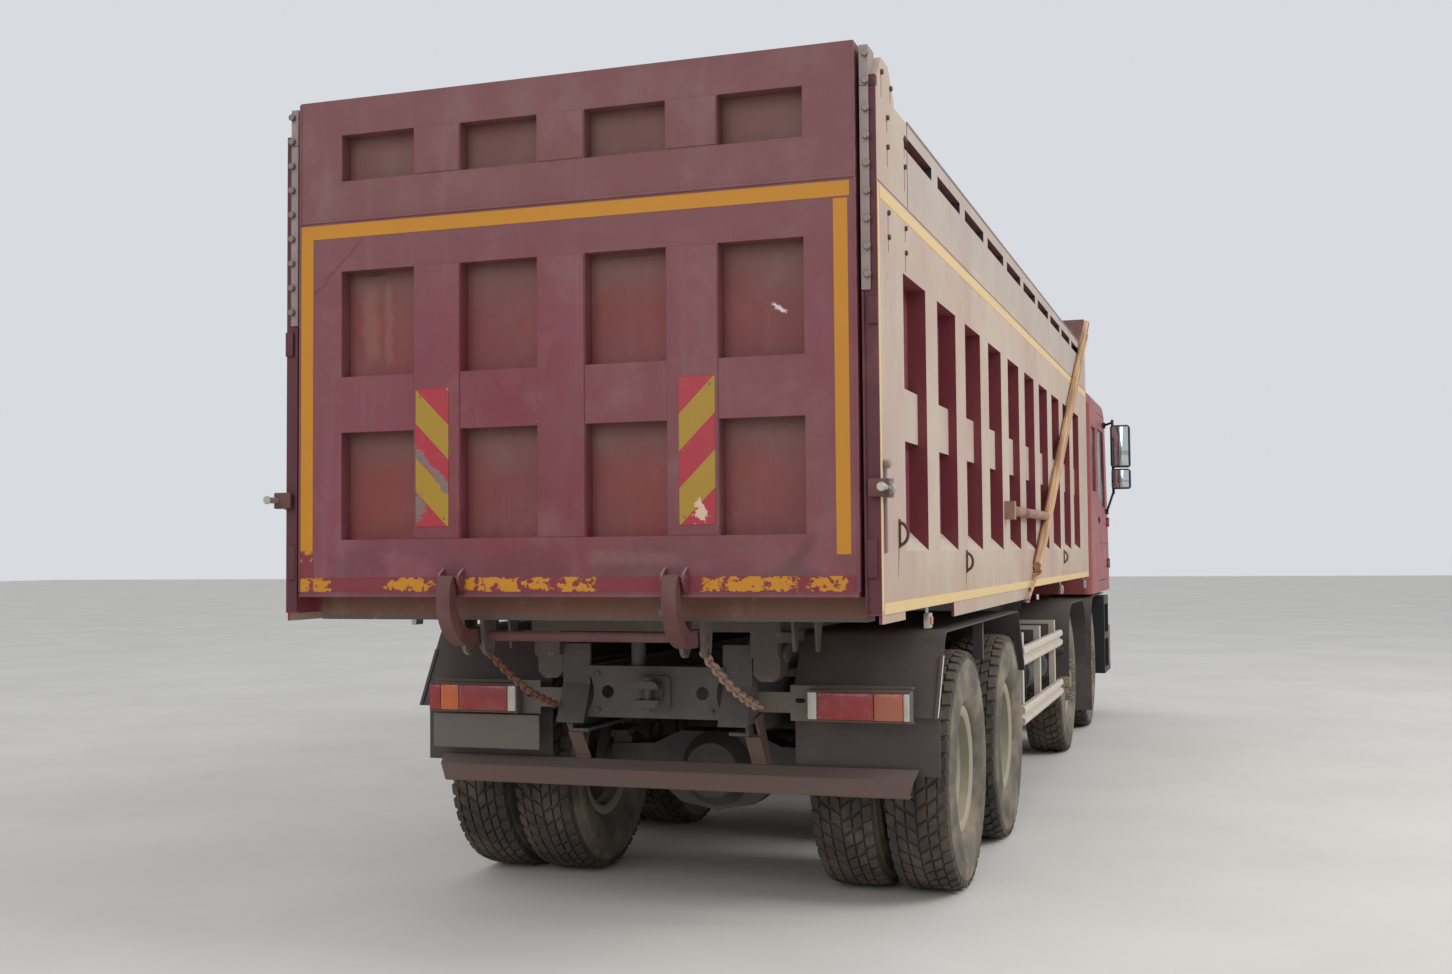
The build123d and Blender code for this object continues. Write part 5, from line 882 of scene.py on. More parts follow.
class Bench:
    """Modelling moves that the pieces share."""

    @staticmethod
    def clear() -> None:
        """Select nothing."""
        for thing in bpy.context.selected_objects:
            thing.select_set(False)

    @staticmethod
    def settle(name: str) -> bpy.types.Object:
        """Name the active object and put its place into its mesh.

        Args:
            name: its name.

        Returns:
            The object.
        """
        thing = bpy.context.object
        thing.name = name
        thing.data.name = name
        thing.data.transform(thing.matrix_basis)
        thing.matrix_basis = Matrix.Identity(4)
        return thing

    @staticmethod
    def modify(thing: bpy.types.Object, kind: str, **settings: object) -> None:
        """Add a modifier and apply it.

        Args:
            thing: the object.
            kind: the modifier's type.
            settings: its settings.
        """
        bpy.context.view_layer.objects.active = thing
        modifier = thing.modifiers.new(kind.lower(), kind)
        for key, value in settings.items():
            setattr(modifier, key, value)
        bpy.ops.object.modifier_apply(modifier=modifier.name)

    @classmethod
    def soften(
        cls, thing: bpy.types.Object, width: float, segments: int = 2, angle: float = 40.0
    ) -> bpy.types.Object:
        """Round an object's edges and shade it by angle.

        Args:
            thing: the object.
            width: how wide the rounding is, or 0.
            segments: how many faces round an edge.
            angle: shading angle in degrees.

        Returns:
            The object.
        """
        if width > 0:
            cls.modify(
                thing, "BEVEL", width=width, segments=segments, limit_method="ANGLE",
                angle_limit=math.radians(30),
            )
        cls.clear()
        thing.select_set(True)
        bpy.context.view_layer.objects.active = thing
        bpy.ops.object.shade_smooth_by_angle(angle=math.radians(angle))
        return thing

    @classmethod
    def block(
        cls, name: str, low: Point, high: Point, edge: float = 0.002, segments: int = 2
    ) -> bpy.types.Object:
        """Model a bar or plate between two corners.

        Args:
            name: the piece's name.
            low: one corner.
            high: the opposite corner.
            edge: how wide its edges are rounded.
            segments: how many faces round an edge.

        Returns:
            The piece.
        """
        cls.clear()
        centre = [(a + b) / 2 for a, b in zip(low, high)]
        bpy.ops.mesh.primitive_cube_add(size=1, location=centre)
        bpy.context.object.scale = [abs(b - a) for a, b in zip(low, high)]
        return cls.soften(cls.settle(name), edge, segments)

    @classmethod
    def sided(
        cls, name: str, side: float, low: Point, high: Point, edge: float = 0.002, segments: int = 2
    ) -> bpy.types.Object:
        """Model a bar or plate whose corners are given for the left side, on either side.

        Args:
            name: the piece's name.
            side: 1 for the left, -1 for the right.
            low: one corner.
            high: the opposite corner.
            edge: how wide its edges are rounded.
            segments: how many faces round an edge.

        Returns:
            The piece.
        """
        near, far = ((x, side * y, z) for x, y, z in (low, high))
        return cls.block(name, near, far, edge, segments)

    @classmethod
    def bar(
        cls, name: str, start: Point, end: Point, radius: float, sides: int = 16, edge: float = 0.0
    ) -> bpy.types.Object:
        """Model a round bar between two points.

        Args:
            name: the piece's name.
            start: one end's middle.
            end: the other end's middle.
            radius: the bar's radius.
            sides: how many faces it has round.
            edge: how wide its ends are rounded.

        Returns:
            The piece.
        """
        cls.clear()
        line = Vector(end) - Vector(start)
        bpy.ops.mesh.primitive_cylinder_add(vertices=sides, radius=radius, depth=line.length)
        thing = bpy.context.object
        turn = line.to_track_quat("Z", "Y").to_matrix().to_4x4()
        thing.matrix_basis = Matrix.Translation((Vector(start) + Vector(end)) / 2) @ turn
        return cls.soften(cls.settle(name), edge, 1)

    @classmethod
    def rod(cls, name: str, line: list[Point], radius: float) -> bpy.types.Object:
        """Model a bent round rod.

        Args:
            name: the piece's name.
            line: the points that it runs through.
            radius: its radius.

        Returns:
            The piece.
        """
        cls.clear()
        data = bpy.data.curves.new(name, "CURVE")
        data.dimensions = "3D"
        data.bevel_depth = radius
        data.bevel_resolution = 2
        data.use_fill_caps = True
        run = data.splines.new("POLY")
        run.points.add(len(line) - 1)
        for knot, place in zip(run.points, line):
            knot.co = (*place, 1.0)
        thing = bpy.data.objects.new(name, data)
        bpy.context.collection.objects.link(thing)
        thing.select_set(True)
        bpy.context.view_layer.objects.active = thing
        bpy.ops.object.convert(target="MESH")
        return cls.soften(cls.settle(name), 0.0, angle=60)

    @classmethod
    def plate(cls, name: str, outline: list[Point], push: Point, edge: float = 0.002) -> bpy.types.Object:
        """Model a plate: a closed outline filled, then extruded.

        Args:
            name: the piece's name.
            outline: the corners in order.
            push: how far and which way it is extruded.
            edge: how wide its edges are rounded.

        Returns:
            The piece.
        """
        cls.clear()
        bpy.ops.mesh.primitive_circle_add(vertices=len(outline), fill_type="NGON")
        thing = bpy.context.object
        for vertex, place in zip(thing.data.vertices, outline):
            vertex.co = place
        bpy.ops.object.mode_set(mode="EDIT")
        bpy.ops.mesh.select_all(action="SELECT")
        bpy.ops.mesh.extrude_region_move(TRANSFORM_OT_translate={"value": push})
        bpy.ops.mesh.select_all(action="SELECT")
        bpy.ops.mesh.normals_make_consistent(inside=False)
        bpy.ops.object.mode_set(mode="OBJECT")
        return cls.soften(cls.settle(name), edge)

    @classmethod
    def lathe(cls, name: str, profile: list[Spot], steps: int) -> bpy.types.Object:
        """Spin a closed profile about the Y axis.

        Args:
            name: the piece's name.
            profile: points as (distance along the axis, radius).
            steps: how many steps the turn has.

        Returns:
            The turned piece.
        """
        cls.clear()
        bpy.ops.mesh.primitive_circle_add(vertices=len(profile), fill_type="NOTHING")
        thing = bpy.context.object
        for vertex, (out, radius) in zip(thing.data.vertices, profile):
            vertex.co = (0, out, max(radius, 1e-5))
        bpy.ops.object.mode_set(mode="EDIT")
        bpy.ops.mesh.select_all(action="SELECT")
        bpy.ops.mesh.spin(
            steps=steps, angle=math.tau, center=(0, 0, 0), axis=(0, 1, 0), use_auto_merge=True
        )
        bpy.ops.mesh.select_all(action="SELECT")
        bpy.ops.mesh.remove_doubles(threshold=2e-5)
        bpy.ops.mesh.normals_make_consistent(inside=False)
        bpy.ops.object.mode_set(mode="OBJECT")
        return cls.soften(cls.settle(name), 0.0, angle=35)

    @classmethod
    def join(cls, name: str, things: list[bpy.types.Object]) -> bpy.types.Object:
        """Make one piece of several.

        Args:
            name: the joined piece's name.
            things: the pieces.

        Returns:
            The joined piece.
        """
        cls.clear()
        for thing in things:
            thing.select_set(True)
        bpy.context.view_layer.objects.active = things[0]
        if len(things) > 1:
            bpy.ops.object.join()
        joined = bpy.context.view_layer.objects.active
        joined.name = name
        joined.data.name = name
        return joined

    @classmethod
    def copies(cls, name: str, model: bpy.types.Object, moves: list[Matrix]) -> bpy.types.Object:
        """Copy a model to several places and join the copies; the model goes.

        Args:
            name: the joined piece's name.
            model: what is repeated.
            moves: one matrix for each copy.

        Returns:
            The joined piece.
        """
        made = []
        for move in moves:
            twin = model.copy()
            twin.data = model.data.copy()
            twin.data.transform(move)
            bpy.context.collection.objects.link(twin)
            made.append(twin)
        bpy.data.objects.remove(model)
        return cls.join(name, made)

    @classmethod
    def cut(cls, thing: bpy.types.Object, tool: bpy.types.Object) -> None:
        """Take one shape out of another; the tool goes."""
        cls.modify(thing, "BOOLEAN", operation="DIFFERENCE", solver="EXACT", object=tool)
        bpy.data.objects.remove(tool)

    @staticmethod
    def coat(thing: bpy.types.Object, *materials: bpy.types.Material) -> bpy.types.Object:
        """Give an object its materials, the first on every face.

        Args:
            thing: the object.
            materials: its materials in order.

        Returns:
            The object.
        """
        thing.data.materials.clear()
        for material in materials:
            thing.data.materials.append(material)
        return thing


@dataclass
class Truck:
    """What every sub-assembly needs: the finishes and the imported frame.

    Attributes:
        paints: the finishes by their plain names.
        nodes: the CAD nodes by their names.
        mirror_y: turns a shape of the left into one of the right.
    """

    paints: Paints
    nodes: dict[str, bpy.types.Object]
    mirror_y: Matrix = field(default_factory=lambda: Matrix.Scale(-1, 4, (0, 1, 0)))

    def fit(
        self, piece: bpy.types.Object, body: str, slot: str, paint: str | None = None,
        replaces: tuple[str, ...] = (),
    ) -> bpy.types.Object:
        """Finish a piece and put it on its body.

        Args:
            piece: the finished shape.
            body: the CAD body that it rides on.
            slot: the record's material slot; not used.
            paint: plain name of its finish, if it has one all over.
            replaces: CAD nodes that it stands for.

        Returns:
            The piece.
        """
        if paint:
            Bench.coat(piece, self.paints[paint])
        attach(piece, body)
        if replaces:
            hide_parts(*replaces)
        LOG.info("%s rides on %s", piece.name, body)
        return piece


@dataclass
class Wheels(Truck):
    """Tyres with block tread, and rims with hand holes, hubs and studs.

    Attributes:
        front_y: a single wheel's middle, from the truck's middle.
        twin_y: the middles of the two wheels of a pair.
        tyre_r: radius over the tread.
        groove: depth of the grooves.
        pitches: tread blocks round a tyre.
        wall: half the tyre's section, as (distance outwards, radius).
        tread_rows: inner and outer edge, share of the pitch, lean and shift of each row of blocks.
        shoulder: distance outwards from which the blocks fall away.
        shoulder_drop: how far they fall.
        rim_r: radius of the bead seats' inner side.
        barrel: the rim's section, as (distance outwards, radius over rim_r).
        steps: steps in a full turn.
        holes: hand holes and studs round a disc.
        hole_ring: radius of the ring of hand holes.
        hole_r: radius of a hand hole.
        stud_ring: radius of the ring of studs.
        stud_r: radius of a stud.
        cap_bolts: bolts round a hub's cap.
        cap_ring: radius of the ring of cap bolts.
    """

    front_y: float = 1.015
    twin_y: Spot = (0.741, 1.086)
    tyre_r: float = 0.5625
    groove: float = 0.013
    pitches: int = 46
    wall: tuple[Spot, ...] = (
        (0.103, 0.2595), (0.104, 0.292), (0.110, 0.300), (0.122, 0.306), (0.138, 0.330), (0.150, 0.365),
        (0.1562, 0.400), (0.1568, 0.425), (0.1545, 0.450), (0.1530, 0.452), (0.1515, 0.470),
        (0.1480, 0.495), (0.1440, 0.515), (0.1380, 0.528),
    )
    tread_rows: tuple[tuple[float, ...], ...] = (
        (0.004, 0.046, 0.80, 0.016, 0.0),
        (0.054, 0.092, 0.78, 0.014, 0.35),
        (0.100, 0.140, 0.66, 0.006, 0.0),
    )
    shoulder: float = 0.13
    shoulder_drop: float = 0.012
    rim_r: float = 0.258
    barrel: tuple[Spot, ...] = (
        (0.115, 0.034), (0.1135, 0.0375), (0.107, 0.0375), (0.103, 0.032), (0.1025, 0.0), (0.060, -0.006),
        (0.045, -0.020), (-0.045, -0.020), (-0.060, -0.006), (-0.1025, 0.0), (-0.103, 0.032),
        (-0.107, 0.0375), (-0.1135, 0.0375), (-0.115, 0.034), (-0.114, 0.004), (-0.104, -0.010),
        (-0.062, -0.015), (-0.047, -0.029), (0.047, -0.029), (0.062, -0.015), (0.104, -0.010),
        (0.114, 0.004),
    )
    steps: int = 72
    holes: int = 10
    hole_ring: float = 0.209
    hole_r: float = 0.021
    stud_ring: float = 0.150
    stud_r: float = 0.0115
    cap_bolts: int = 8
    cap_ring: float = 0.0865

    @staticmethod
    def turns(count: int, offset: float = 0.0) -> list[Matrix]:
        """Turns about the axle that share out a full circle."""
        return [Matrix.Rotation(math.tau * (n + offset) / count, 4, "Y") for n in range(count)]

    def tyre(self) -> bpy.types.Object:
        """Model one tyre at the origin's axle line, outwards to the left.

        Returns:
            The tyre, with its walls and its tread on two finishes.
        """
        base = self.tyre_r - self.groove
        half = [*self.wall, (0.128, base - 0.008), (0.100, base - 0.002), (0.0, base)]
        profile = half + [(-out, radius) for out, radius in reversed(half[:-1])]
        carcass = Bench.lathe("carcass", profile, self.steps * 2)
        Bench.coat(carcass, self.paints["sidewall"], self.paints["tread"])
        for face in carcass.data.polygons:
            face.material_index = int(math.hypot(face.center.x, face.center.z) > 0.518)
        blocks = [self.tread_block(row, hand) for row in self.tread_rows for hand in (1, -1)]
        block = Bench.coat(Bench.join("tread_pitch", blocks), self.paints["tread"])
        tread = Bench.copies("tread", block, self.turns(self.pitches))
        Bench.coat(tread, self.paints["sidewall"], self.paints["tread"])
        for face in tread.data.polygons:
            face.material_index = 1
        return Bench.join("tyre_model", [carcass, tread])

    def tread_block(self, row: tuple[float, ...], hand: int) -> bpy.types.Object:
        """Model one tread block.

        Args:
            row: inner and outer edge, share of the pitch, lean and shift.
            hand: 1 on the tyre's outer half, -1 on its inner half.

        Returns:
            The block, in its place on the tyre.
        """
        low, high, length, lean, shift = row
        pitch = math.tau * self.tyre_r / self.pitches
        reach, top = pitch * length / 2, self.tyre_r - 0.0016
        falls = high > self.shoulder
        outline = [
            (-reach + lean, hand * high), (reach + lean, hand * high),
            (reach - lean, hand * low), (-reach - lean, hand * low),
        ]
        ring = [(x, y, top - (self.shoulder_drop if abs(y) > self.shoulder else 0.0)) for x, y in outline]
        block = Bench.plate("tread_block", ring, (0, 0, -0.028 if falls else -0.020), 0.0)
        Bench.soften(block, 0.0022, 1)
        offset = (shift + (0.5 if hand < 0 else 0)) * pitch
        block.data.transform(Matrix.Rotation(offset / self.tyre_r, 4, "Y"))
        return block

    def rim_barrel(self, centre_y: float) -> bpy.types.Object:
        """A tyre's rim: drop centre, bead seats and rolled lips."""
        profile = [(centre_y + out, self.rim_r + over) for out, over in self.barrel]
        return Bench.lathe("barrel", profile, self.steps)

    def disc(self, middle: float, dish: float) -> bpy.types.Object:
        """Model the wheel disc with its hand holes.

        Args:
            middle: where the bolting face lies along the axle.
            dish: how far the disc comes back to the rim, outwards positive.

        Returns:
            The disc.
        """
        half_t = 0.006
        line = [
            (middle, 0.112), (middle, 0.178), (middle - dish * 0.25, 0.196),
            (middle - dish * 0.75, 0.222), (middle - dish, 0.2445),
        ]
        outer = [(out + half_t, radius) for out, radius in line]
        inner = [(out - half_t, radius) for out, radius in reversed(line)]
        disc = Bench.lathe("disc", outer + inner, self.steps)
        start, end = (0, middle - dish - 0.1, self.hole_ring), (0, middle + 0.1, self.hole_ring)
        hole = Bench.bar("hole", start, end, self.hole_r, 14)
        Bench.cut(disc, Bench.copies("holes", hole, self.turns(self.holes, 0.5)))
        return Bench.soften(disc, 0.0)

    def studs(self, face: float, reach: float) -> bpy.types.Object:
        """Model the studs with their nuts round a disc's bolting face.

        Args:
            face: where the bolting face lies along the axle.
            reach: how far the studs stand out of it.

        Returns:
            The studs.
        """
        start = (0, face, self.stud_ring)
        parts = [
            Bench.bar(name, start, (0, face + out, self.stud_ring), self.stud_r * wider, sides, edge)
            for name, out, wider, sides, edge in (
                ("shank", reach, 1.0, 10, 0.002),
                ("nut", 0.024, 1.75, 6, 0.002),
                ("collar", 0.007, 2.1, 14, 0.001),
            )
        ]
        return Bench.copies("studs", Bench.join("stud", parts), self.turns(self.holes))

    def hub(self, base: float, reach: float) -> bpy.types.Object:
        """Model a hub with its cap.

        Args:
            base: where the hub starts along the axle.
            reach: how far it stands out from there.

        Returns:
            The hub.
        """
        flange = [(base - 0.02, 0.0), (base - 0.02, 0.112), (base + 0.010, 0.114), (base + 0.020, 0.108)]
        cap = [
            (base + reach * share, radius)
            for share, radius in (
                (0.55, 0.095), (0.62, 0.088), (0.64, 0.080), (0.92, 0.072), (1.0, 0.060), (1.0, 0.0)
            )
        ]
        hub = Bench.lathe("hub", flange + cap, 40)
        start, end = (0, base + reach * 0.60, self.cap_ring), (0, base + reach * 0.72, self.cap_ring)
        bolt = Bench.bar("bolt", start, end, 0.0065, 6, 0.001)
        return Bench.join("hub_set", [hub, Bench.copies("bolts", bolt, self.turns(self.cap_bolts))])

    def rims(self) -> dict[str, bpy.types.Object]:
        """Model a single wheel's rim and a twin wheel's pair of rims.

        Returns:
            Each of them by its kind.
        """
        inner, outer = (y - sum(self.twin_y) / 2 for y in self.twin_y)
        kinds = {
            "front": [
                (self.rim_barrel(0.0), "rim"), (self.disc(0.100, 0.030), "rim"),
                (self.studs(0.106, 0.070), "stud"), (self.hub(0.100, 0.062), "hub"),
            ],
            "rear": [
                (self.rim_barrel(inner), "rim"), (self.rim_barrel(outer), "rim"),
                (self.disc(0.012, -0.058), "rim"), (self.disc(-0.012, 0.058), "rim"),
                (self.studs(0.018, 0.045), "stud"), (self.hub(0.012, 0.190), "hub"),
            ],
        }
        for parts in kinds.values():
            for part, paint in parts:
                Bench.coat(part, self.paints[paint])
        return {
            kind: Bench.join(f"{kind}_rim_model", [part for part, _ in parts])
            for kind, parts in kinds.items()
        }

    def build(self) -> None:
        """Model each kind of wheel once and copy it to its places."""
        tyre = self.tyre()
        rng = random.Random(4)
        rims = self.rims()
        for axle, x in AXLE_X.items():
            twin = axle > 2
            places = self.twin_y if twin else (self.front_y,)
            centre = sum(places) / len(places)
            tyre_key, rim_key = ("tyres", "rims") if twin else ("tyre", "rim")
            for hand, side in SIDES.items():
                axis = Matrix.Translation((x, 0, WHEEL_Z))
                start = axis @ Matrix.Rotation(rng.uniform(0, math.tau), 4, "Y")
                tyres = [
                    self.place(tyre, start @ Matrix.Translation((0, side * y, 0)), side) for y in places
                ]
                ring = Bench.join(f"tread_{tyre_key}_{axle}_{hand}", tyres)
                body = f"wheel_{axle}_{hand}"
                self.fit(ring, body, "rubber_tread", replaces=(f"{tyre_key}_{axle}_{hand}",))
                model = rims["rear" if twin else "front"]
                rim = self.place(model, start @ Matrix.Translation((0, side * centre, 0)), side)
                rim.name = f"dished_{rim_key}_{axle}_{hand}"
                self.fit(rim, body, "rim_paint", replaces=(f"{rim_key}_{axle}_{hand}",))
        for model in (tyre, *rims.values()):
            bpy.data.objects.remove(model)

    def place(self, model: bpy.types.Object, move: Matrix, side: float) -> bpy.types.Object:
        """Copy a model modelled outwards to the left, mirrored for the right.

        Args:
            model: what is copied.
            move: where the copy goes.
            side: 1 for the left, -1 for the right.

        Returns:
            The copy.
        """
        twin = model.copy()
        twin.data = model.data.copy()
        twin.data.transform(move @ (Matrix.Identity(4) if side > 0 else self.mirror_y))
        bpy.context.collection.objects.link(twin)
        if side < 0:
            twin.data.flip_normals()
        return twin


@dataclass
class Tailgate(Truck):
    """Raised columns, marking tape, hazard boards, rivets and lips of the tailgate.

    Attributes:
        gate_y: half the tailgate's width.
        proud: thickness of the tape.
        raise_by: how far the columns stand out.
        rows: name, foot and head of each row of columns.
        places: middle and half width of each column.
        board_edges: side, two edges across and foot of each hazard board.
        board_top: the boards' upper edge.
        board_t: the boards' thickness.
        rivet_in: from a board's edges to its rivets, across and upwards.
        tapes: name, two edges across, two heights and finish of each strip.
        lips: name, how far it stands out, foot and head of each lip across the gate.
        strap_z: foot and head of the straps down the gate's edges.
        strap_t: half a strap's thickness.
    """

    gate_y: float = 1.172
    proud: float = 0.0012
    raise_by: float = 0.005
    rows: tuple[tuple[str, float, float], ...] = (("foot", 1.664, 2.752), ("head", 3.128, 3.313))
    places: tuple[Spot, ...] = ((0.540, 0.101), (0.0, 0.098), (-0.540, 0.101))
    board_edges: tuple[tuple[str, float, float, float], ...] = (
        ("left", 0.485, 0.632, 1.710), ("right", -0.630, -0.486, 1.702),
    )
    board_top: float = 2.258
    board_t: float = 0.003
    rivet_in: Spot = (0.02, 0.03)
    tapes: tuple[tuple[str, float, float, float, float, str], ...] = (
        ("tape_top", -1.152, 1.169, 2.893, 2.950, "tape"),
        ("tape_left", 1.110, 1.169, 1.512, 2.893, "torn_tape"),
        ("tape_right", -1.144, -1.090, 1.587, 2.886, "tape"),
        ("tape_bottom", -1.160, 1.169, 1.452, 1.509, "worn_tape"),
    )
    lips: tuple[tuple[str, float, float, float], ...] = (
        ("gate_seam_lip", 0.006, SEAM_Z + 0.004, SEAM_Z + 0.014), ("gate_foot_lip", 0.008, 1.431, 1.441),
    )
    strap_z: Spot = (1.45, 3.46)
    strap_t: float = 0.004

    def columns(self) -> None:
        """Raise the columns between the pockets a little over the rails."""
        for row, low, high in self.rows:
            columns = [
                Bench.block("column", (GATE - self.raise_by, y - half, low), (GATE, y + half, high), 0.003)
                for y, half in self.places
            ]
            self.fit(Bench.join(f"gate_columns_{row}", columns), "gate", "body_paint", "gate")

    def boards(self) -> None:
        """Fix a hazard board on each outer column."""
        back, high = GATE - self.raise_by, self.board_top
        face = back - self.board_t
        in_y, in_z = self.rivet_in
        for key, near, far, low in self.board_edges:
            board = Bench.block(f"board_{key}", (face, near, low), (back, far, high), 0.001, 1)
            self.fit(board, "gate", "body_paint", f"board_{key}")
            foot, head = (face, near + in_y, low + in_z), (back - 0.0055, near + in_y, low + in_z)
            rivet = Bench.bar("rivet", foot, head, 0.005, 10, 0.001)
            across, upwards = far - near - 2 * in_y, high - low - 2 * in_z
            moves = [Matrix.Translation((0, y, z)) for y in (0, across) for z in (0, upwards / 2, upwards)]
            self.fit(Bench.copies(f"board_rivets_{key}", rivet, moves), "gate", "body_paint", "stud")

    def build(self) -> None:
        """Dress the tailgate."""
        self.columns()
        self.boards()
        for name, y0, y1, z0, z1, paint in self.tapes:
            tape = Bench.block(name, (GATE - self.proud, y0, z0), (GATE, y1, z1), 0.0)
            self.fit(tape, "gate", "body_paint", paint)
        for name, out, low, high in self.lips:
            lip = Bench.block(name, (GATE - out, -self.gate_y, low), (GATE, self.gate_y, high))
            self.fit(lip, "gate", "body_paint", "gate")
        low, high = self.strap_z
        for key, side in SIDES.items():
            near = (GATE - 0.004, self.gate_y - self.strap_t, low)
            far = (GATE + 0.10, self.gate_y + self.strap_t, high)
            self.fit(
                Bench.sided(f"gate_edge_{key}", side, near, far, 0.001, 1), "gate", "body_paint", "gate"
            )


@dataclass
class BodySides(Truck):
    """Tapes, bolts, latches, hooks and marker boxes along the body.

    Attributes:
        rear: where the body's side starts.
        front: where it ends.
        proud: thickness of the tape.
        tape_lines: name, start, end, foot and head of each tape, from the gate's face.
        guard_y: the rear mudguard's outer face.
        guard_line: corners of the white edge on it, from the gate's face.
        post_y: inner and outer face of the rear post.
        flange_y: outer face of the pale flange on it.
        shadow_strip_y: inner face of the dark strip of painted shadow beside the flange.
        flange_z: foot and head of the flange.
        crown_z: foot and head of the crown over it.
        foot_z: foot and head of the post's lower part.
        corner_bolt: place across, height, pitch and count of the flange's bolts.
        panel_spots: bolts of the rear panel, from the gate's face.
        panel_seam: start and end of the seam behind the panel, from the gate's face.
        pin_z: height of the side latch's pin.
        hook_rows: place, foot, head and reach of each rope hook.
        marker_x: the marker lamps, from the gate's face.
    """

    rear: float = GATE + 0.02
    front: float = GATE + 7.93
    proud: float = 0.0012
    tape_lines: tuple[tuple[str, float, float, float, float], ...] = (
        ("seam", 0.060, 7.890, 2.892, 2.938), ("rear_edge", 0.024, 0.048, 1.380, 2.938),
        ("sill", 0.060, 7.890, 1.3665, 1.408),
    )
    guard_y: float = 1.2422
    guard_line: tuple[Spot, ...] = ((1.079, 0.887), (1.101, 0.887), (1.252, 1.141), (1.230, 1.141))
    post_y: Spot = (1.1905, 1.2485)
    flange_y: float = 1.224
    shadow_strip_y: float = 1.226
    flange_z: Spot = (2.545, 3.294)
    crown_z: Spot = (3.296, 3.446)
    foot_z: Spot = (1.372, 2.540)
    corner_bolt: tuple[float, float, float, int] = (1.2155, 2.601, 0.1015, 9)
    panel_spots: tuple[Spot, ...] = (
        (0.200, 3.222), (0.200, 3.111), (0.200, 2.862), (0.200, 2.770), (0.510, 3.219), (0.510, 3.110),
        (0.510, 2.865), (0.510, 2.768), (0.110, 3.370), (0.262, 3.350),
    )
    panel_seam: Spot = (0.560, 0.566)
    pin_z: float = 1.826
    hook_rows: tuple[tuple[float, float, float, float], ...] = (
        (0.320, 1.618, 1.706, 0.038), (1.810, 1.502, 1.586, 0.033), (6.000, 1.502, 1.583, 0.030),
    )
    marker_x: tuple[float, ...] = (1.020, 4.165, 6.060, 7.815)

    def build(self) -> None:
        """Dress both sides of the body."""
        for hand, side in SIDES.items():
            self.tapes(hand, side)
            self.corner(hand, side)
            self.panel_bolts(hand, side)
            self.latch(hand, side)
            self.hooks(hand, side)
            self.markers(hand, side)

    def tapes(self, hand: str, side: float) -> None:
        """Cream tape along seam, rear edge and sill, and a white edge on the mudguard.

        Args:
            hand: the side's name.
            side: 1 for the left, -1 for the right.
        """
        for name, start, end, low, high in self.tape_lines:
            near, far = (GATE + start, BODY_Y, low), (GATE + end, BODY_Y + self.proud, high)
            self.fit(
                Bench.sided(f"{name}_tape_{hand}", side, near, far, 0.0), "tipper", "body_paint", "cream"
            )
        outline = [(GATE + x, side * self.guard_y, z) for x, z in self.guard_line]
        edge = Bench.plate(f"guard_edge_{hand}", outline, (0, side * self.proud, 0), 0.0)
        self.fit(edge, "chassis", "chassis_paint", "gap")

    def corner(self, hand: str, side: float) -> None:
        """Pale bolted flange down the rear post, a dark strip and cap of painted shadow beside it, and the
        dark post below it.

        Args:
            hand: the side's name.
            side: 1 for the left, -1 for the right.
        """
        back, coat, seat = self.rear - 0.012, self.rear - 0.003, self.rear - 0.0002
        box = self.rear - 0.014
        inner, outer = self.post_y
        low, high = self.flange_z
        base, crest = self.crown_z
        foot, knee = self.foot_z
        # The flange and its crown take the pale coat of dust and painted sunlight.
        flange = [
            Bench.sided("flange", side, (back, inner, low), (seat, self.flange_y, high)),
            Bench.sided("crown", side, (back, inner, base), (GATE + 0.110, self.flange_y, crest)),
        ]
        self.fit(Bench.join(f"post_flange_{hand}", flange), "tipper", "body_paint", "flange")
        # Painted shadow: the dark strip beside the flange and the cap above it stand for shade between gate
        # and ear; the lower post, rib and boxes share their dark maroon coat.
        post_and_shadow = [
            Bench.sided("post", side, (coat, self.shadow_strip_y, low), (seat, outer, high), 0.001, 1),
            Bench.sided("post", side, (coat, inner, foot), (seat, outer, knee), 0.001, 1),
            Bench.sided("cap", side, (coat, self.shadow_strip_y, base), (GATE + 0.0395, outer, 3.337), 0.001, 1),
            Bench.sided("rib", side, (back, inner, foot), (coat, 1.200, knee)),
            Bench.sided("box", side, (box, 1.212, 2.420), (coat, outer, 2.520), 0.003),
            Bench.sided("box", side, (box, 1.200, 1.500), (coat, 1.236, 1.640), 0.003),
        ]
        self.fit(Bench.join(f"post_and_shadow_strip_{hand}", post_and_shadow), "tipper", "body_paint", "post")
        across, start, pitch, count = self.corner_bolt
        bolt = Bench.bar(
            "bolt", (back, side * across, start), (back - 0.016, side * across, start), 0.015, 6, 0.002
        )
        moves = [Matrix.Translation((0, 0, pitch * n)) for n in range(count)]
        self.fit(Bench.copies(f"corner_bolts_{hand}", bolt, moves), "tipper", "body_paint", "stud")

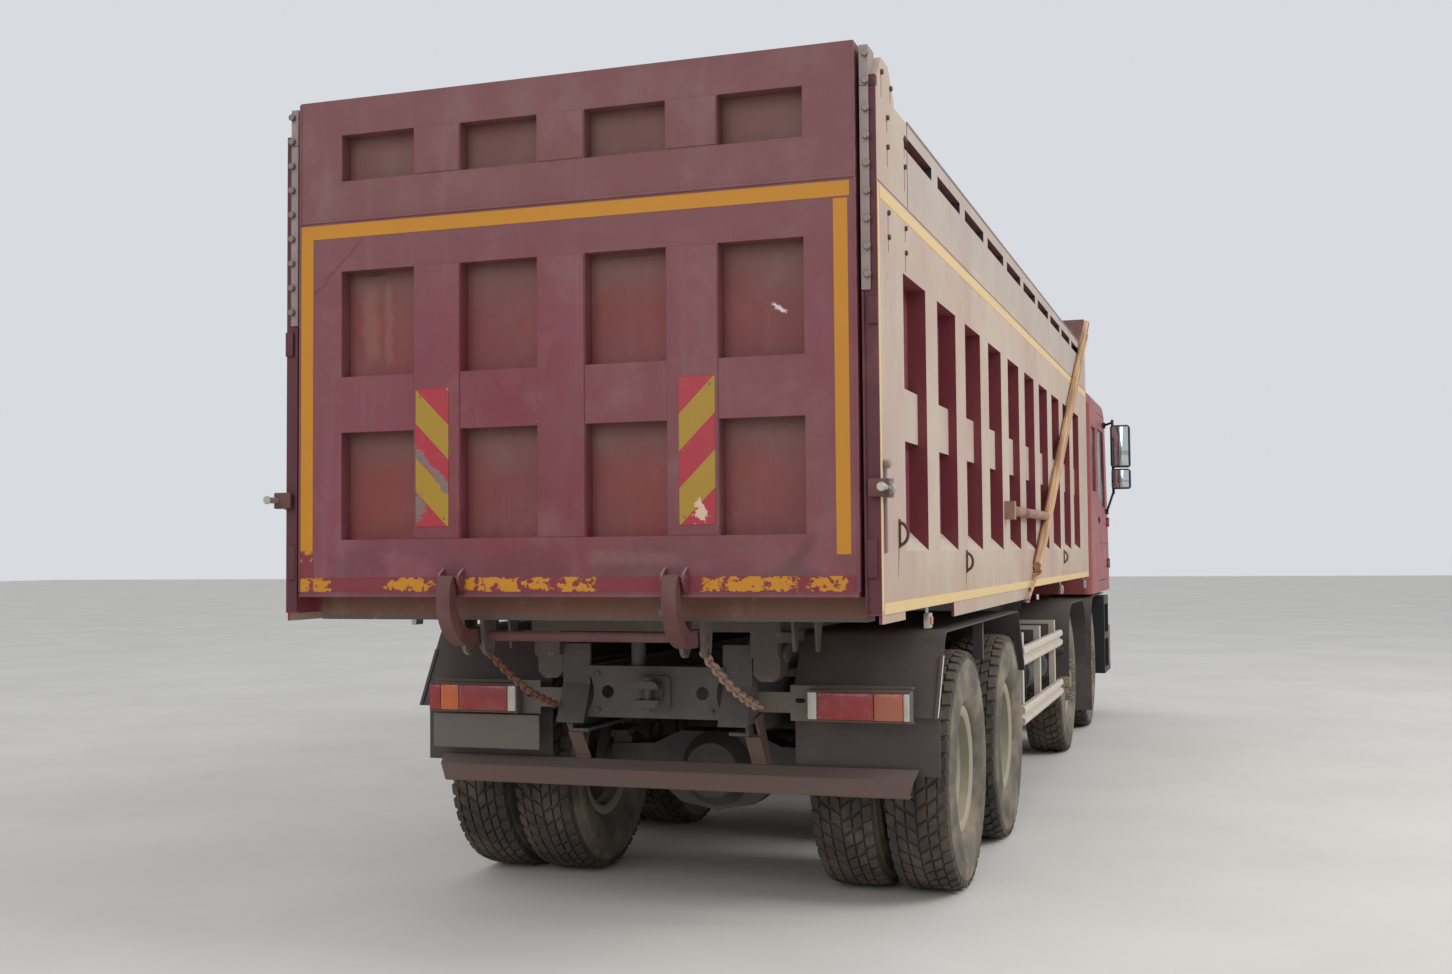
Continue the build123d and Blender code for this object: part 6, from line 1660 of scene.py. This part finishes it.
    def panel_bolts(self, hand: str, side: float) -> None:
        """Bolted rear panel of the side, with rust under its bolts.

        Args:
            hand: the side's name.
            side: 1 for the left, -1 for the right.
        """
        bolt = Bench.bar(
            "bolt", (GATE, side * BODY_Y, 0), (GATE, side * (BODY_Y + 0.010), 0), 0.011, 6, 0.0015
        )
        moves = [Matrix.Translation((x, 0, z)) for x, z in self.panel_spots]
        self.fit(Bench.copies(f"panel_bolts_{hand}", bolt, moves), "tipper", "body_paint", "hook")
        drips = []
        for number, (x, z) in enumerate(self.panel_spots):
            tail = z - 0.055 - 0.02 * (number % 3)
            near, far = (GATE + x - 0.003, BODY_Y, tail), (GATE + x + 0.003, BODY_Y + 0.0006, z - 0.006)
            drips.append(Bench.sided("drip", side, near, far, 0.0))
        self.fit(Bench.join(f"bolt_drips_{hand}", drips), "tipper", "body_paint", "post")
        start, end = (GATE + x for x in self.panel_seam)
        out, stop = BODY_Y + 0.001, self.front - 0.01
        seam = [
            Bench.sided("seam", side, (start, BODY_Y, 2.956), (end, out, 3.294), 0.0),
            Bench.sided("seam", side, (self.rear + 0.01, BODY_Y, 2.9485), (stop, out, 2.9515), 0.0),
        ]
        self.fit(Bench.join(f"panel_seams_{hand}", seam), "tipper", "body_paint", "post")
        near, far = (end, BODY_Y - 0.004, 3.2955), (stop, BODY_Y + 0.004, 3.306)
        self.fit(Bench.sided(f"panel_lip_{hand}", side, near, far, 0.003), "tipper", "body_paint", "flange")

    def latch(self, hand: str, side: float) -> None:
        """Side latch: a bright pin through an eye plate, and its long handle bar.

        Args:
            hand: the side's name.
            side: 1 for the left, -1 for the right.
        """
        rear, out = self.rear, BODY_Y + 0.024
        pin = [
            Bench.bar(
                name, (rear + x0, side * out, self.pin_z), (rear + x1, side * out, self.pin_z), *shape
            )
            for name, x0, x1, shape in (
                ("pin", -0.095, 0.110, (0.013, 16, 0.003)), ("collar", 0.018, 0.026, (0.022, 20, 0.002)),
                ("head", -0.103, -0.093, (0.017, 20, 0.003)),
            )
        ]
        self.fit(Bench.join(f"latch_pin_{hand}", pin), "tipper", "body_paint", "bright")
        knob = ((rear + 0.056, side * BODY_Y, 1.915), (rear + 0.056, side * (BODY_Y + 0.026), 1.915))
        parts = [
            Bench.sided(
                "handle", side, (rear + 0.048, BODY_Y, 1.590), (rear + 0.066, BODY_Y + 0.012, 1.905), 0.004
            ),
            Bench.sided(
                "eye", side, (rear + 0.036, BODY_Y, 1.790), (rear + 0.052, out + 0.016, 1.862), 0.005
            ),
            Bench.bar("knob", *knob, 0.016, 16, 0.004),
        ]
        self.fit(Bench.join(f"latch_handle_{hand}", parts), "tipper", "body_paint", "flange")
        near, far = (rear - 0.034, BODY_Y - 0.040, 1.792), (rear - 0.014, out + 0.014, 1.858)
        self.fit(Bench.sided(f"latch_tab_{hand}", side, near, far, 0.005), "tipper", "body_paint", "hook")

    def hooks(self, hand: str, side: float) -> None:
        """Rope hooks along the lower ribs, with the dark drips below them.

        Args:
            hand: the side's name.
            side: 1 for the left, -1 for the right.
        """
        for number, (place, low, high, reach) in enumerate(self.hook_rows):
            x, middle, half = GATE + place, (low + high) / 2, (high - low) / 2
            line = []
            for n in range(11):
                turn = math.pi * n / 10
                out = BODY_Y - 0.002 + reach * math.sin(turn)
                line.append((x, side * out, middle + half * math.cos(turn)))
            bow = Bench.rod("bow", line, 0.0065)
            stem = side * (BODY_Y + 0.003)
            back = Bench.bar("back", (x, stem, low - 0.01), (x, stem, high + 0.012), 0.006, 10, 0.002)
            self.fit(Bench.join(f"rope_hook_{hand}_{number}", [bow, back]), "tipper", "body_paint", "hook")
            tail = low - (0.10 if number else 0.13)
            outline = [
                (x + dx, side * BODY_Y, z) for dx, z in ((-0.008, low), (0.006, low), (-0.018, tail))
            ]
            drip = Bench.plate(f"hook_drip_{hand}_{number}", outline, (0, side * 0.0006, 0), 0.0)
            self.fit(drip, "tipper", "body_paint", "post")

    def markers(self, hand: str, side: float) -> None:
        """Side marker lamps in small bright boxes below the sill.

        Args:
            hand: the side's name.
            side: 1 for the left, -1 for the right.
        """
        for number, place in enumerate(self.marker_x):
            x = GATE + place
            box = [
                Bench.sided("tab", side, (x - 0.026, 1.212, 1.300), (x + 0.026, 1.216, 1.366), 0.001, 1),
                Bench.sided("box", side, (x - 0.034, 1.205, 1.270), (x + 0.034, 1.232, 1.336), 0.006),
            ]
            self.fit(Bench.join(f"marker_box_{hand}_{number}", box), "tipper", "body_paint", "bright")
            near, far = (x - 0.020, 1.232, 1.286), (x + 0.020, 1.238, 1.320)
            self.fit(
                Bench.sided(f"marker_lens_{hand}_{number}", side, near, far, 0.003), "tipper", "lamp",
                "amber",
            )


@dataclass
class RearEnd(Truck):
    """Lamp lenses, blank plate, chains and bolts under the tailgate.

    Attributes:
        lamp_x: rear face of the lamp bodies.
        lamp_z: foot and head of the lamps.
        frame_y: inner and outer edge of a lamp's frame.
        lenses: name, inner edge, outer edge and finish of the lenses that both lamps have.
        tails: the same for the outer lenses of each lamp.
        screw: place across and height of the first screw of a lamp.
        plate_y: the plate's edges across.
        plate_z: its foot and head.
        chain_end: where the chains meet the frame, from the gate's face.
        bolt: place across and height of the first bolt of the rear crossmember.
        bolt_x: its two ends, from the gate's face.
    """

    lamp_x: float = GATE + 1.0
    lamp_z: Spot = (0.872, 1.000)
    frame_y: Spot = (0.690, 1.142)
    lenses: tuple[tuple[str, float, float, str], ...] = (
        ("clear", 0.695, 0.735, "clear"), ("red", 0.737, 0.985, "red"),
    )
    tails: dict[str, tuple[tuple[str, float, float, str], ...]] = field(default_factory=lambda: {
        "left": (("amber", 0.987, 1.080, "amber"), ("edge", 1.082, 1.139, "red")),
        "right": (("amber", 0.987, 1.112, "dull"), ("edge", 1.114, 1.139, "clear")),
    })
    screw: Spot = (0.745, 0.936)
    plate_y: Spot = (0.594, 1.140)
    plate_z: Spot = (0.700, 0.858)
    chain_end: float = GATE + 0.93
    bolt: Spot = (0.27, 0.90)
    bolt_x: Spot = (GATE + 0.968, GATE + 0.956)

    def lamps(self, hand: str, side: float) -> None:
        """Lenses, frame and screws of one rear lamp.

        Args:
            hand: the side's name.
            side: 1 for the left, -1 for the right.
        """
        x, (low, high), (inner, outer) = self.lamp_x, self.lamp_z, self.frame_y
        for name, near, far, paint in (*self.lenses, *self.tails[hand]):
            corners = (x - 0.010, near, low + 0.006), (x, far, high - 0.006)
            self.fit(Bench.sided(f"lens_{name}_{hand}", side, *corners, 0.004), "chassis", "lamp", paint)
        frame = [
            Bench.sided("edge", side, (x - 0.004, inner, z0), (x + 0.060, outer, z1), 0.003)
            for z0, z1 in ((low - 0.003, low + 0.004), (high - 0.004, high + 0.003))
        ]
        self.fit(Bench.join(f"lamp_frame_{hand}", frame), "chassis", "lamp", "rust")
        y, z = self.screw
        screw = Bench.bar("screw", (x - 0.010, side * y, z), (x - 0.0125, side * y, z), 0.006, 12, 0.001)
        moves = [Matrix.Translation((0, side * dy, dz)) for dy in (0.006, 0.225) for dz in (-0.045, 0.045)]
        self.fit(Bench.copies(f"lens_screws_{hand}", screw, moves), "chassis", "lamp", "stud")

    def build(self) -> None:
        """Dress the rear end."""
        for hand, side in SIDES.items():
            self.lamps(hand, side)
        (near, far), (low, high) = self.plate_y, self.plate_z
        face, back = self.lamp_x + 0.030, self.lamp_x + 0.042
        plate = Bench.block("blank_plate", (face, near, low), (back, far, high), 0.004)
        self.fit(plate, "chassis", "chassis_paint", "plate")
        hanger = [
            Bench.block("hanger", (back, y, 0.75), (self.lamp_x + 0.050, y + 0.03, 0.90), 0.001, 1)
            for y in (0.70, 1.02)
        ]
        self.fit(Bench.join("plate_hangers", hanger), "chassis", "chassis_paint", "chassis")
        end = self.chain_end
        self.chain(
            "chain_right", (GATE + 0.238, -0.49, 1.208), (end, -0.50, 0.93), 0.03, 0.056, "pale_chain"
        )
        self.chain("chain_left", (GATE + 0.214, 0.475, 1.256), (end, 0.458, 0.92), 0.04, 0.044, "chain")
        (y, z), (front, rear) = self.bolt, self.bolt_x
        bolt = Bench.bar("bolt", (front, y, z), (rear, y, z), 0.011, 6, 0.0015)
        moves = [Matrix.Translation((0, dy, dz)) for dy in (0, -0.540) for dz in (0, 0.16)]
        self.fit(Bench.copies("crossmember_bolts", bolt, moves), "chassis", "chassis_paint", "chassis")

    def chain(self, name: str, start: Point, end: Point, sag: float, link: float, paint: str) -> None:
        """Hang a chain from the tipping body's latch bracket to the frame's end.

        Args:
            name: the chain's name.
            start: its end on the tipping body.
            end: its end on the frame.
            sag: how far its middle hangs below the straight line.
            link: a link's size, from which its length and gauge follow.
            paint: plain name of its finish.
        """
        a, b = Vector(start), Vector(end)
        count = max(2, int((b - a).length / (link * 0.74)))
        Bench.clear()
        bpy.ops.mesh.primitive_torus_add(
            major_segments=16, minor_segments=8, major_radius=link * 0.36, minor_radius=link * 0.13
        )
        bpy.context.object.scale = (1.45, 0.85, 1.0)
        model = Bench.settle("link")
        line = [
            a.lerp(b, n / count) - Vector((0, 0, sag * math.sin(math.pi * n / count)))
            for n in range(count + 1)
        ]
        moves = []
        for number, (here, there) in enumerate(zip(line, line[1:])):
            turn = (there - here).to_track_quat("X", "Z").to_matrix().to_4x4()
            roll = Matrix.Rotation(math.radians(90 * (number % 2) + 12), 4, "X")
            moves.append(Matrix.Translation((here + there) / 2) @ turn @ roll)
        chain = Bench.soften(Bench.copies(name, model, moves), 0.0)
        Bench.coat(chain, self.paints[paint])
        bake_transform(chain)


@dataclass
class CabFront(Truck):
    """Lamps, door handles, mirror faces and wipers of the cab.

    Attributes:
        face: the bumper's front.
        cab_front: the cab's front.
        lamp_y: middles of the two lamps in a headlamp.
        lamp_z: their height.
        lamp_r: radius of their holes in the bezel.
        bezel_y: the bezel's edges across.
        bezel_z: its foot and head.
        dome: a lens's section, as (depth, radius).
        ring: a bright ring's section.
        mirror_x: rear and front of the mirrors' faces.
        mirror_edges: their edges across.
        mirrors: name, foot and head of each face.
        screen: height and depth of the windscreen's lean.
        wiper_y: the wipers' pivots.
        pivot_z: their height.
        roof_lamp_y: the roof lamps.
    """

    face: float = 5.175
    cab_front: float = 5.115
    lamp_y: Spot = (0.848, 1.002)
    lamp_z: float = 0.690
    lamp_r: float = 0.070
    bezel_y: Spot = (0.766, 1.084)
    bezel_z: Spot = (0.596, 0.784)
    dome: tuple[Spot, ...] = (
        (0.0, 0.0), (0.0, 0.064), (0.004, 0.064), (0.008, 0.050), (0.0105, 0.028), (0.0115, 0.0)
    )
    ring: tuple[Spot, ...] = ((0.0, 0.063), (0.0, 0.0695), (0.008, 0.0695), (0.008, 0.066))
    mirror_x: Spot = (4.329, 4.335)
    mirror_edges: Spot = (1.346, 1.496)
    mirrors: tuple[tuple[str, float, float], ...] = (("main", 2.385, 2.755), ("wide", 2.178, 2.342))
    screen: Spot = (0.870, 0.180)
    wiper_y: tuple[float, ...] = (-0.80, 0.0, 0.80)
    pivot_z: float = 1.985
    roof_lamp_y: tuple[float, ...] = (-0.95, -0.32, 0.32, 0.95)

    def build(self) -> None:
        """Dress the cab."""
        for hand, side in SIDES.items():
            self.headlamp(hand, side)
            near, far = (self.face - 0.150, 1.178, 0.64), (self.face - 0.075, 1.205, 0.74)
            self.fit(Bench.sided(f"turn_lamp_{hand}", side, near, far, 0.008), "chassis", "lamp", "amber")
            self.door(hand, side)
        self.screen_parts()

    def headlamp(self, hand: str, side: float) -> None:
        """Twin round lamps behind a dark bezel in the bumper's pocket.

        Args:
            hand: the side's name.
            side: 1 for the left, -1 for the right.
        """
        back, front, z = self.face - 0.0458, self.face - 0.022, self.lamp_z
        (inner, outer), (low, high) = self.bezel_y, self.bezel_z
        bezel = Bench.sided(
            f"headlamp_bezel_{hand}", side, (back, inner, low), (front, outer, high), 0.014, 3
        )
        for y in self.lamp_y:
            start, end = (back + 0.006, side * y, z), (front + 0.02, side * y, z)
            Bench.cut(bezel, Bench.bar("hole", start, end, self.lamp_r, 40))
        self.fit(Bench.soften(bezel, 0.0), "chassis", "lamp", "plastic")
        lenses, rings = [], []
        for y in self.lamp_y:
            seat = Matrix.Translation((back + 0.0065, side * y, z)) @ Matrix.Rotation(-math.pi / 2, 4, "Z")
            for made, profile in ((lenses, self.dome), (rings, self.ring)):
                part = Bench.lathe("lamp", list(profile), 40)
                part.data.transform(seat)
                made.append(part)
        self.fit(Bench.join(f"headlamp_{hand}", lenses), "chassis", "lamp", "clear")
        self.fit(Bench.join(f"headlamp_rings_{hand}", rings), "chassis", "lamp", "bright")

    def door(self, hand: str, side: float) -> None:
        """Handle and mirror faces of one door.

        Args:
            hand: the side's name.
            side: 1 for the left, -1 for the right.
        """
        handle = [
            Bench.sided("dish", side, (3.9555, 1.2202, 1.8385), (4.1145, 1.2222, 1.8975), 0.0),
            Bench.sided("grip", side, (3.950, 1.238, 1.855), (4.120, 1.252, 1.881), 0.006),
            Bench.bar("lock", (4.150, side * 1.240, 1.868), (4.150, side * 1.245, 1.868), 0.013, 20, 0.002),
        ]
        self.fit(Bench.join(f"door_handle_{hand}", handle), f"door_{hand}", "trim_plastic", "plastic")
        (rear, front), (inner, outer) = self.mirror_x, self.mirror_edges
        for name, low, high in self.mirrors:
            glass = Bench.sided(f"mirror_{name}_{hand}", side, (rear, inner, low), (front, outer, high))
            self.fit(glass, f"door_{hand}", "trim_plastic", "mirror")

    def screen_parts(self) -> None:
        """Band, wipers and marker lamps round the windscreen."""
        lean = self.screen[0] / self.screen[1]
        high_x, z = self.cab_front - 0.060, self.pivot_z
        blade_x = high_x - 0.02 / lean + 0.010
        near, far = (self.cab_front - 0.075, -1.12, 1.935), (self.cab_front - 0.046, 1.12, 2.012)
        self.fit(Bench.block("screen_foot_band", near, far, 0.006), "cab", "trim_plastic", "plastic")
        for number, y in enumerate(self.wiper_y):
            foot = (high_x + 0.004, y, z)
            tip = (high_x + 0.006 - 0.46 / lean, y - 0.34, 2.44)
            blade = (blade_x - 0.16 / lean, y - 0.10, 2.14), (blade_x - 0.66 / lean, y - 0.40, 2.64)
            parts = [
                Bench.bar("arm", foot, tip, 0.006, 8),
                Bench.bar("pivot", (foot[0] - 0.03, y, z), (foot[0] + 0.012, y, z), 0.016, 12, 0.003),
                Bench.bar("blade", *blade, 0.007, 8),
            ]
            self.fit(Bench.join(f"wiper_{number}", parts), "cab", "trim_plastic", "plastic")
        for number, y in enumerate(self.roof_lamp_y):
            lamp = Bench.block(
                f"roof_lamp_{number}", (4.52, y - 0.05, 2.998), (4.60, y + 0.05, 3.030), 0.010
            )
            self.fit(lamp, "cab", "lamp", "amber")


@dataclass
class Carried(Truck):
    """Finishes for the CAD nodes that show as they are.

    Attributes:
        looks: each node's finish.
        starts: the finish of nodes whose names begin alike.
        rest: the finish of every other node.
    """

    looks: dict[str, str] = field(default_factory=lambda: {
        "underrun_bar": "rust", "lamps": "plate", "engine": "engine", "fuel_tank": "tank",
        "battery_box": "plastic", "air_tanks": "air", "side_guards": "gap", "mudguards": "flap",
        "cab_steps": "plastic", "air_intake": "plastic", "bumper": "cab", "cab_shell": "cab",
        "cab_glass": "glass", "cab_interior": "cloth", "body_floor": "floor", "sideboards": "side",
        "headboard": "head", "tarp_poles": "timber", "tailgate": "gate", "gate_extension": "gate",
        "gate_hooks": "hook",
    })
    starts: dict[str, str] = field(default_factory=lambda: {
        "body_side": "side", "door_glass": "glass", "door": "cab", "mirrors": "plastic", "hoist": "chrome",
        "tyre": "tread", "rim": "rim",
    })
    rest: str = "chassis"

    def look(self, name: str) -> str:
        """A node's finish, by its whole name or else by how the name begins."""
        alike = (key for start, key in self.starts.items() if name.startswith(start))
        return self.looks.get(name) or next(alike, self.rest)

    def build(self) -> None:
        """Put each finish on its node."""
        for name, node in self.nodes.items():
            Bench.coat(node, self.paints[self.look(name)])


@dataclass
class Studio:
    """The photograph's viewpoint, a plain floor and soft light.

    Attributes:
        eye: where the camera stands.
        heading: where it looks, in radians to the left of forward.
        pitch: how far it looks up.
        roll: how far it leans.
        focal_px: focal length in pixels of the photograph.
        wide_px: the photograph's width in pixels.
        shift: how far the picture's middle lies off the lens's axis, as a share of the width.
        sensor: width of the sensor, in millimetres.
        far: how far the camera sees.
        floor_size: the floor's width.
        sky: the world's colour.
        sky_strength: its strength.
        lamps: name, place, aim, width and watts of each soft lamp.
    """

    eye: Point = (-10.4654, -2.4714, 1.5983)
    heading: float = 0.3201
    pitch: float = 0.0428
    roll: float = -0.0088
    focal_px: float = 1520.14
    wide_px: float = 1452.0
    shift: float = -0.0057
    sensor: float = 36.0
    far: float = 300.0
    floor_size: float = 160.0
    sky: Shade = tone(232, 236, 242)
    sky_strength: float = 0.85
    lamps: tuple[tuple[str, Point, Point, float, float], ...] = (
        ("key", (-3.0, -14.0, 12.0), (0.0, 0.0, 1.2), 8.0, 1500.0),
        ("rear_fill", (-16.0, 2.0, 8.0), (-4.0, 0.0, 1.5), 9.0, 500.0),
    )

    def camera(self) -> None:
        """Stand the camera where the photograph was taken from."""
        level, rise = math.cos(self.pitch), math.sin(self.pitch)
        ahead = Vector((level * math.cos(self.heading), level * math.sin(self.heading), rise))
        right = Vector((math.sin(self.heading), -math.cos(self.heading), 0))
        up = right.cross(ahead)
        across = math.cos(self.roll) * right + math.sin(self.roll) * up
        above = math.cos(self.roll) * up - math.sin(self.roll) * right
        data = bpy.data.cameras.new("photo_view")
        data.sensor_width = self.sensor
        data.lens = self.focal_px / self.wide_px * self.sensor
        data.shift_x = self.shift
        data.clip_end = self.far
        view = bpy.data.objects.new("photo_view", data)
        turn = Matrix((across, above, -ahead)).transposed().to_4x4()
        view.matrix_world = Matrix.Translation(self.eye) @ turn
        bpy.context.collection.objects.link(view)
        bpy.context.scene.camera = view

    def floor(self) -> None:
        """Lay a plain pale floor."""
        Bench.clear()
        bpy.ops.mesh.primitive_plane_add(size=self.floor_size, location=(0, 0, 0))
        ground = Bench.settle("studio_floor")
        g = Graph("pale_floor")
        colour = g.blend(g.patches(0.6, 0.3, 0.7), tone(214, 210, 203), tone(206, 202, 195))
        Bench.coat(ground, g.finish(colour, 0.9))

    def lamp(self, name: str, place: Point, aim: Point, size: float, power: float) -> None:
        """Hang one soft lamp.

        Args:
            name: its name.
            place: where it hangs.
            aim: where it points.
            size: its width.
            power: its strength in watts.
        """
        data = bpy.data.lights.new(name, "AREA")
        data.size = size
        data.energy = power
        lamp = bpy.data.objects.new(name, data)
        turn = (Vector(aim) - Vector(place)).to_track_quat("-Z", "Y").to_matrix().to_4x4()
        lamp.matrix_world = Matrix.Translation(place) @ turn
        bpy.context.collection.objects.link(lamp)

    def build(self) -> None:
        """Set up camera, floor, lamps and world."""
        self.camera()
        self.floor()
        for lamp in self.lamps:
            self.lamp(*lamp)
        world = bpy.data.worlds.new("studio")
        world.use_nodes = True
        back = world.node_tree.nodes["Background"]
        back.inputs[0].default_value = self.sky
        back.inputs[1].default_value = self.sky_strength
        bpy.context.scene.world = world
        bpy.context.scene.view_settings.view_transform = "Standard"


def main() -> None:
    """Load the frame and build every sub-assembly."""
    logging.basicConfig(level=logging.INFO, format="%(name)s %(message)s")
    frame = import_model()
    Studio().build()
    paints = Paints()
    for assembly in (Carried, Wheels, Tailgate, BodySides, RearEnd, CabFront):
        assembly(paints, frame["nodes"]).build()
        LOG.info("%s is done", assembly.__name__)


if __name__ == "__main__":
    main()
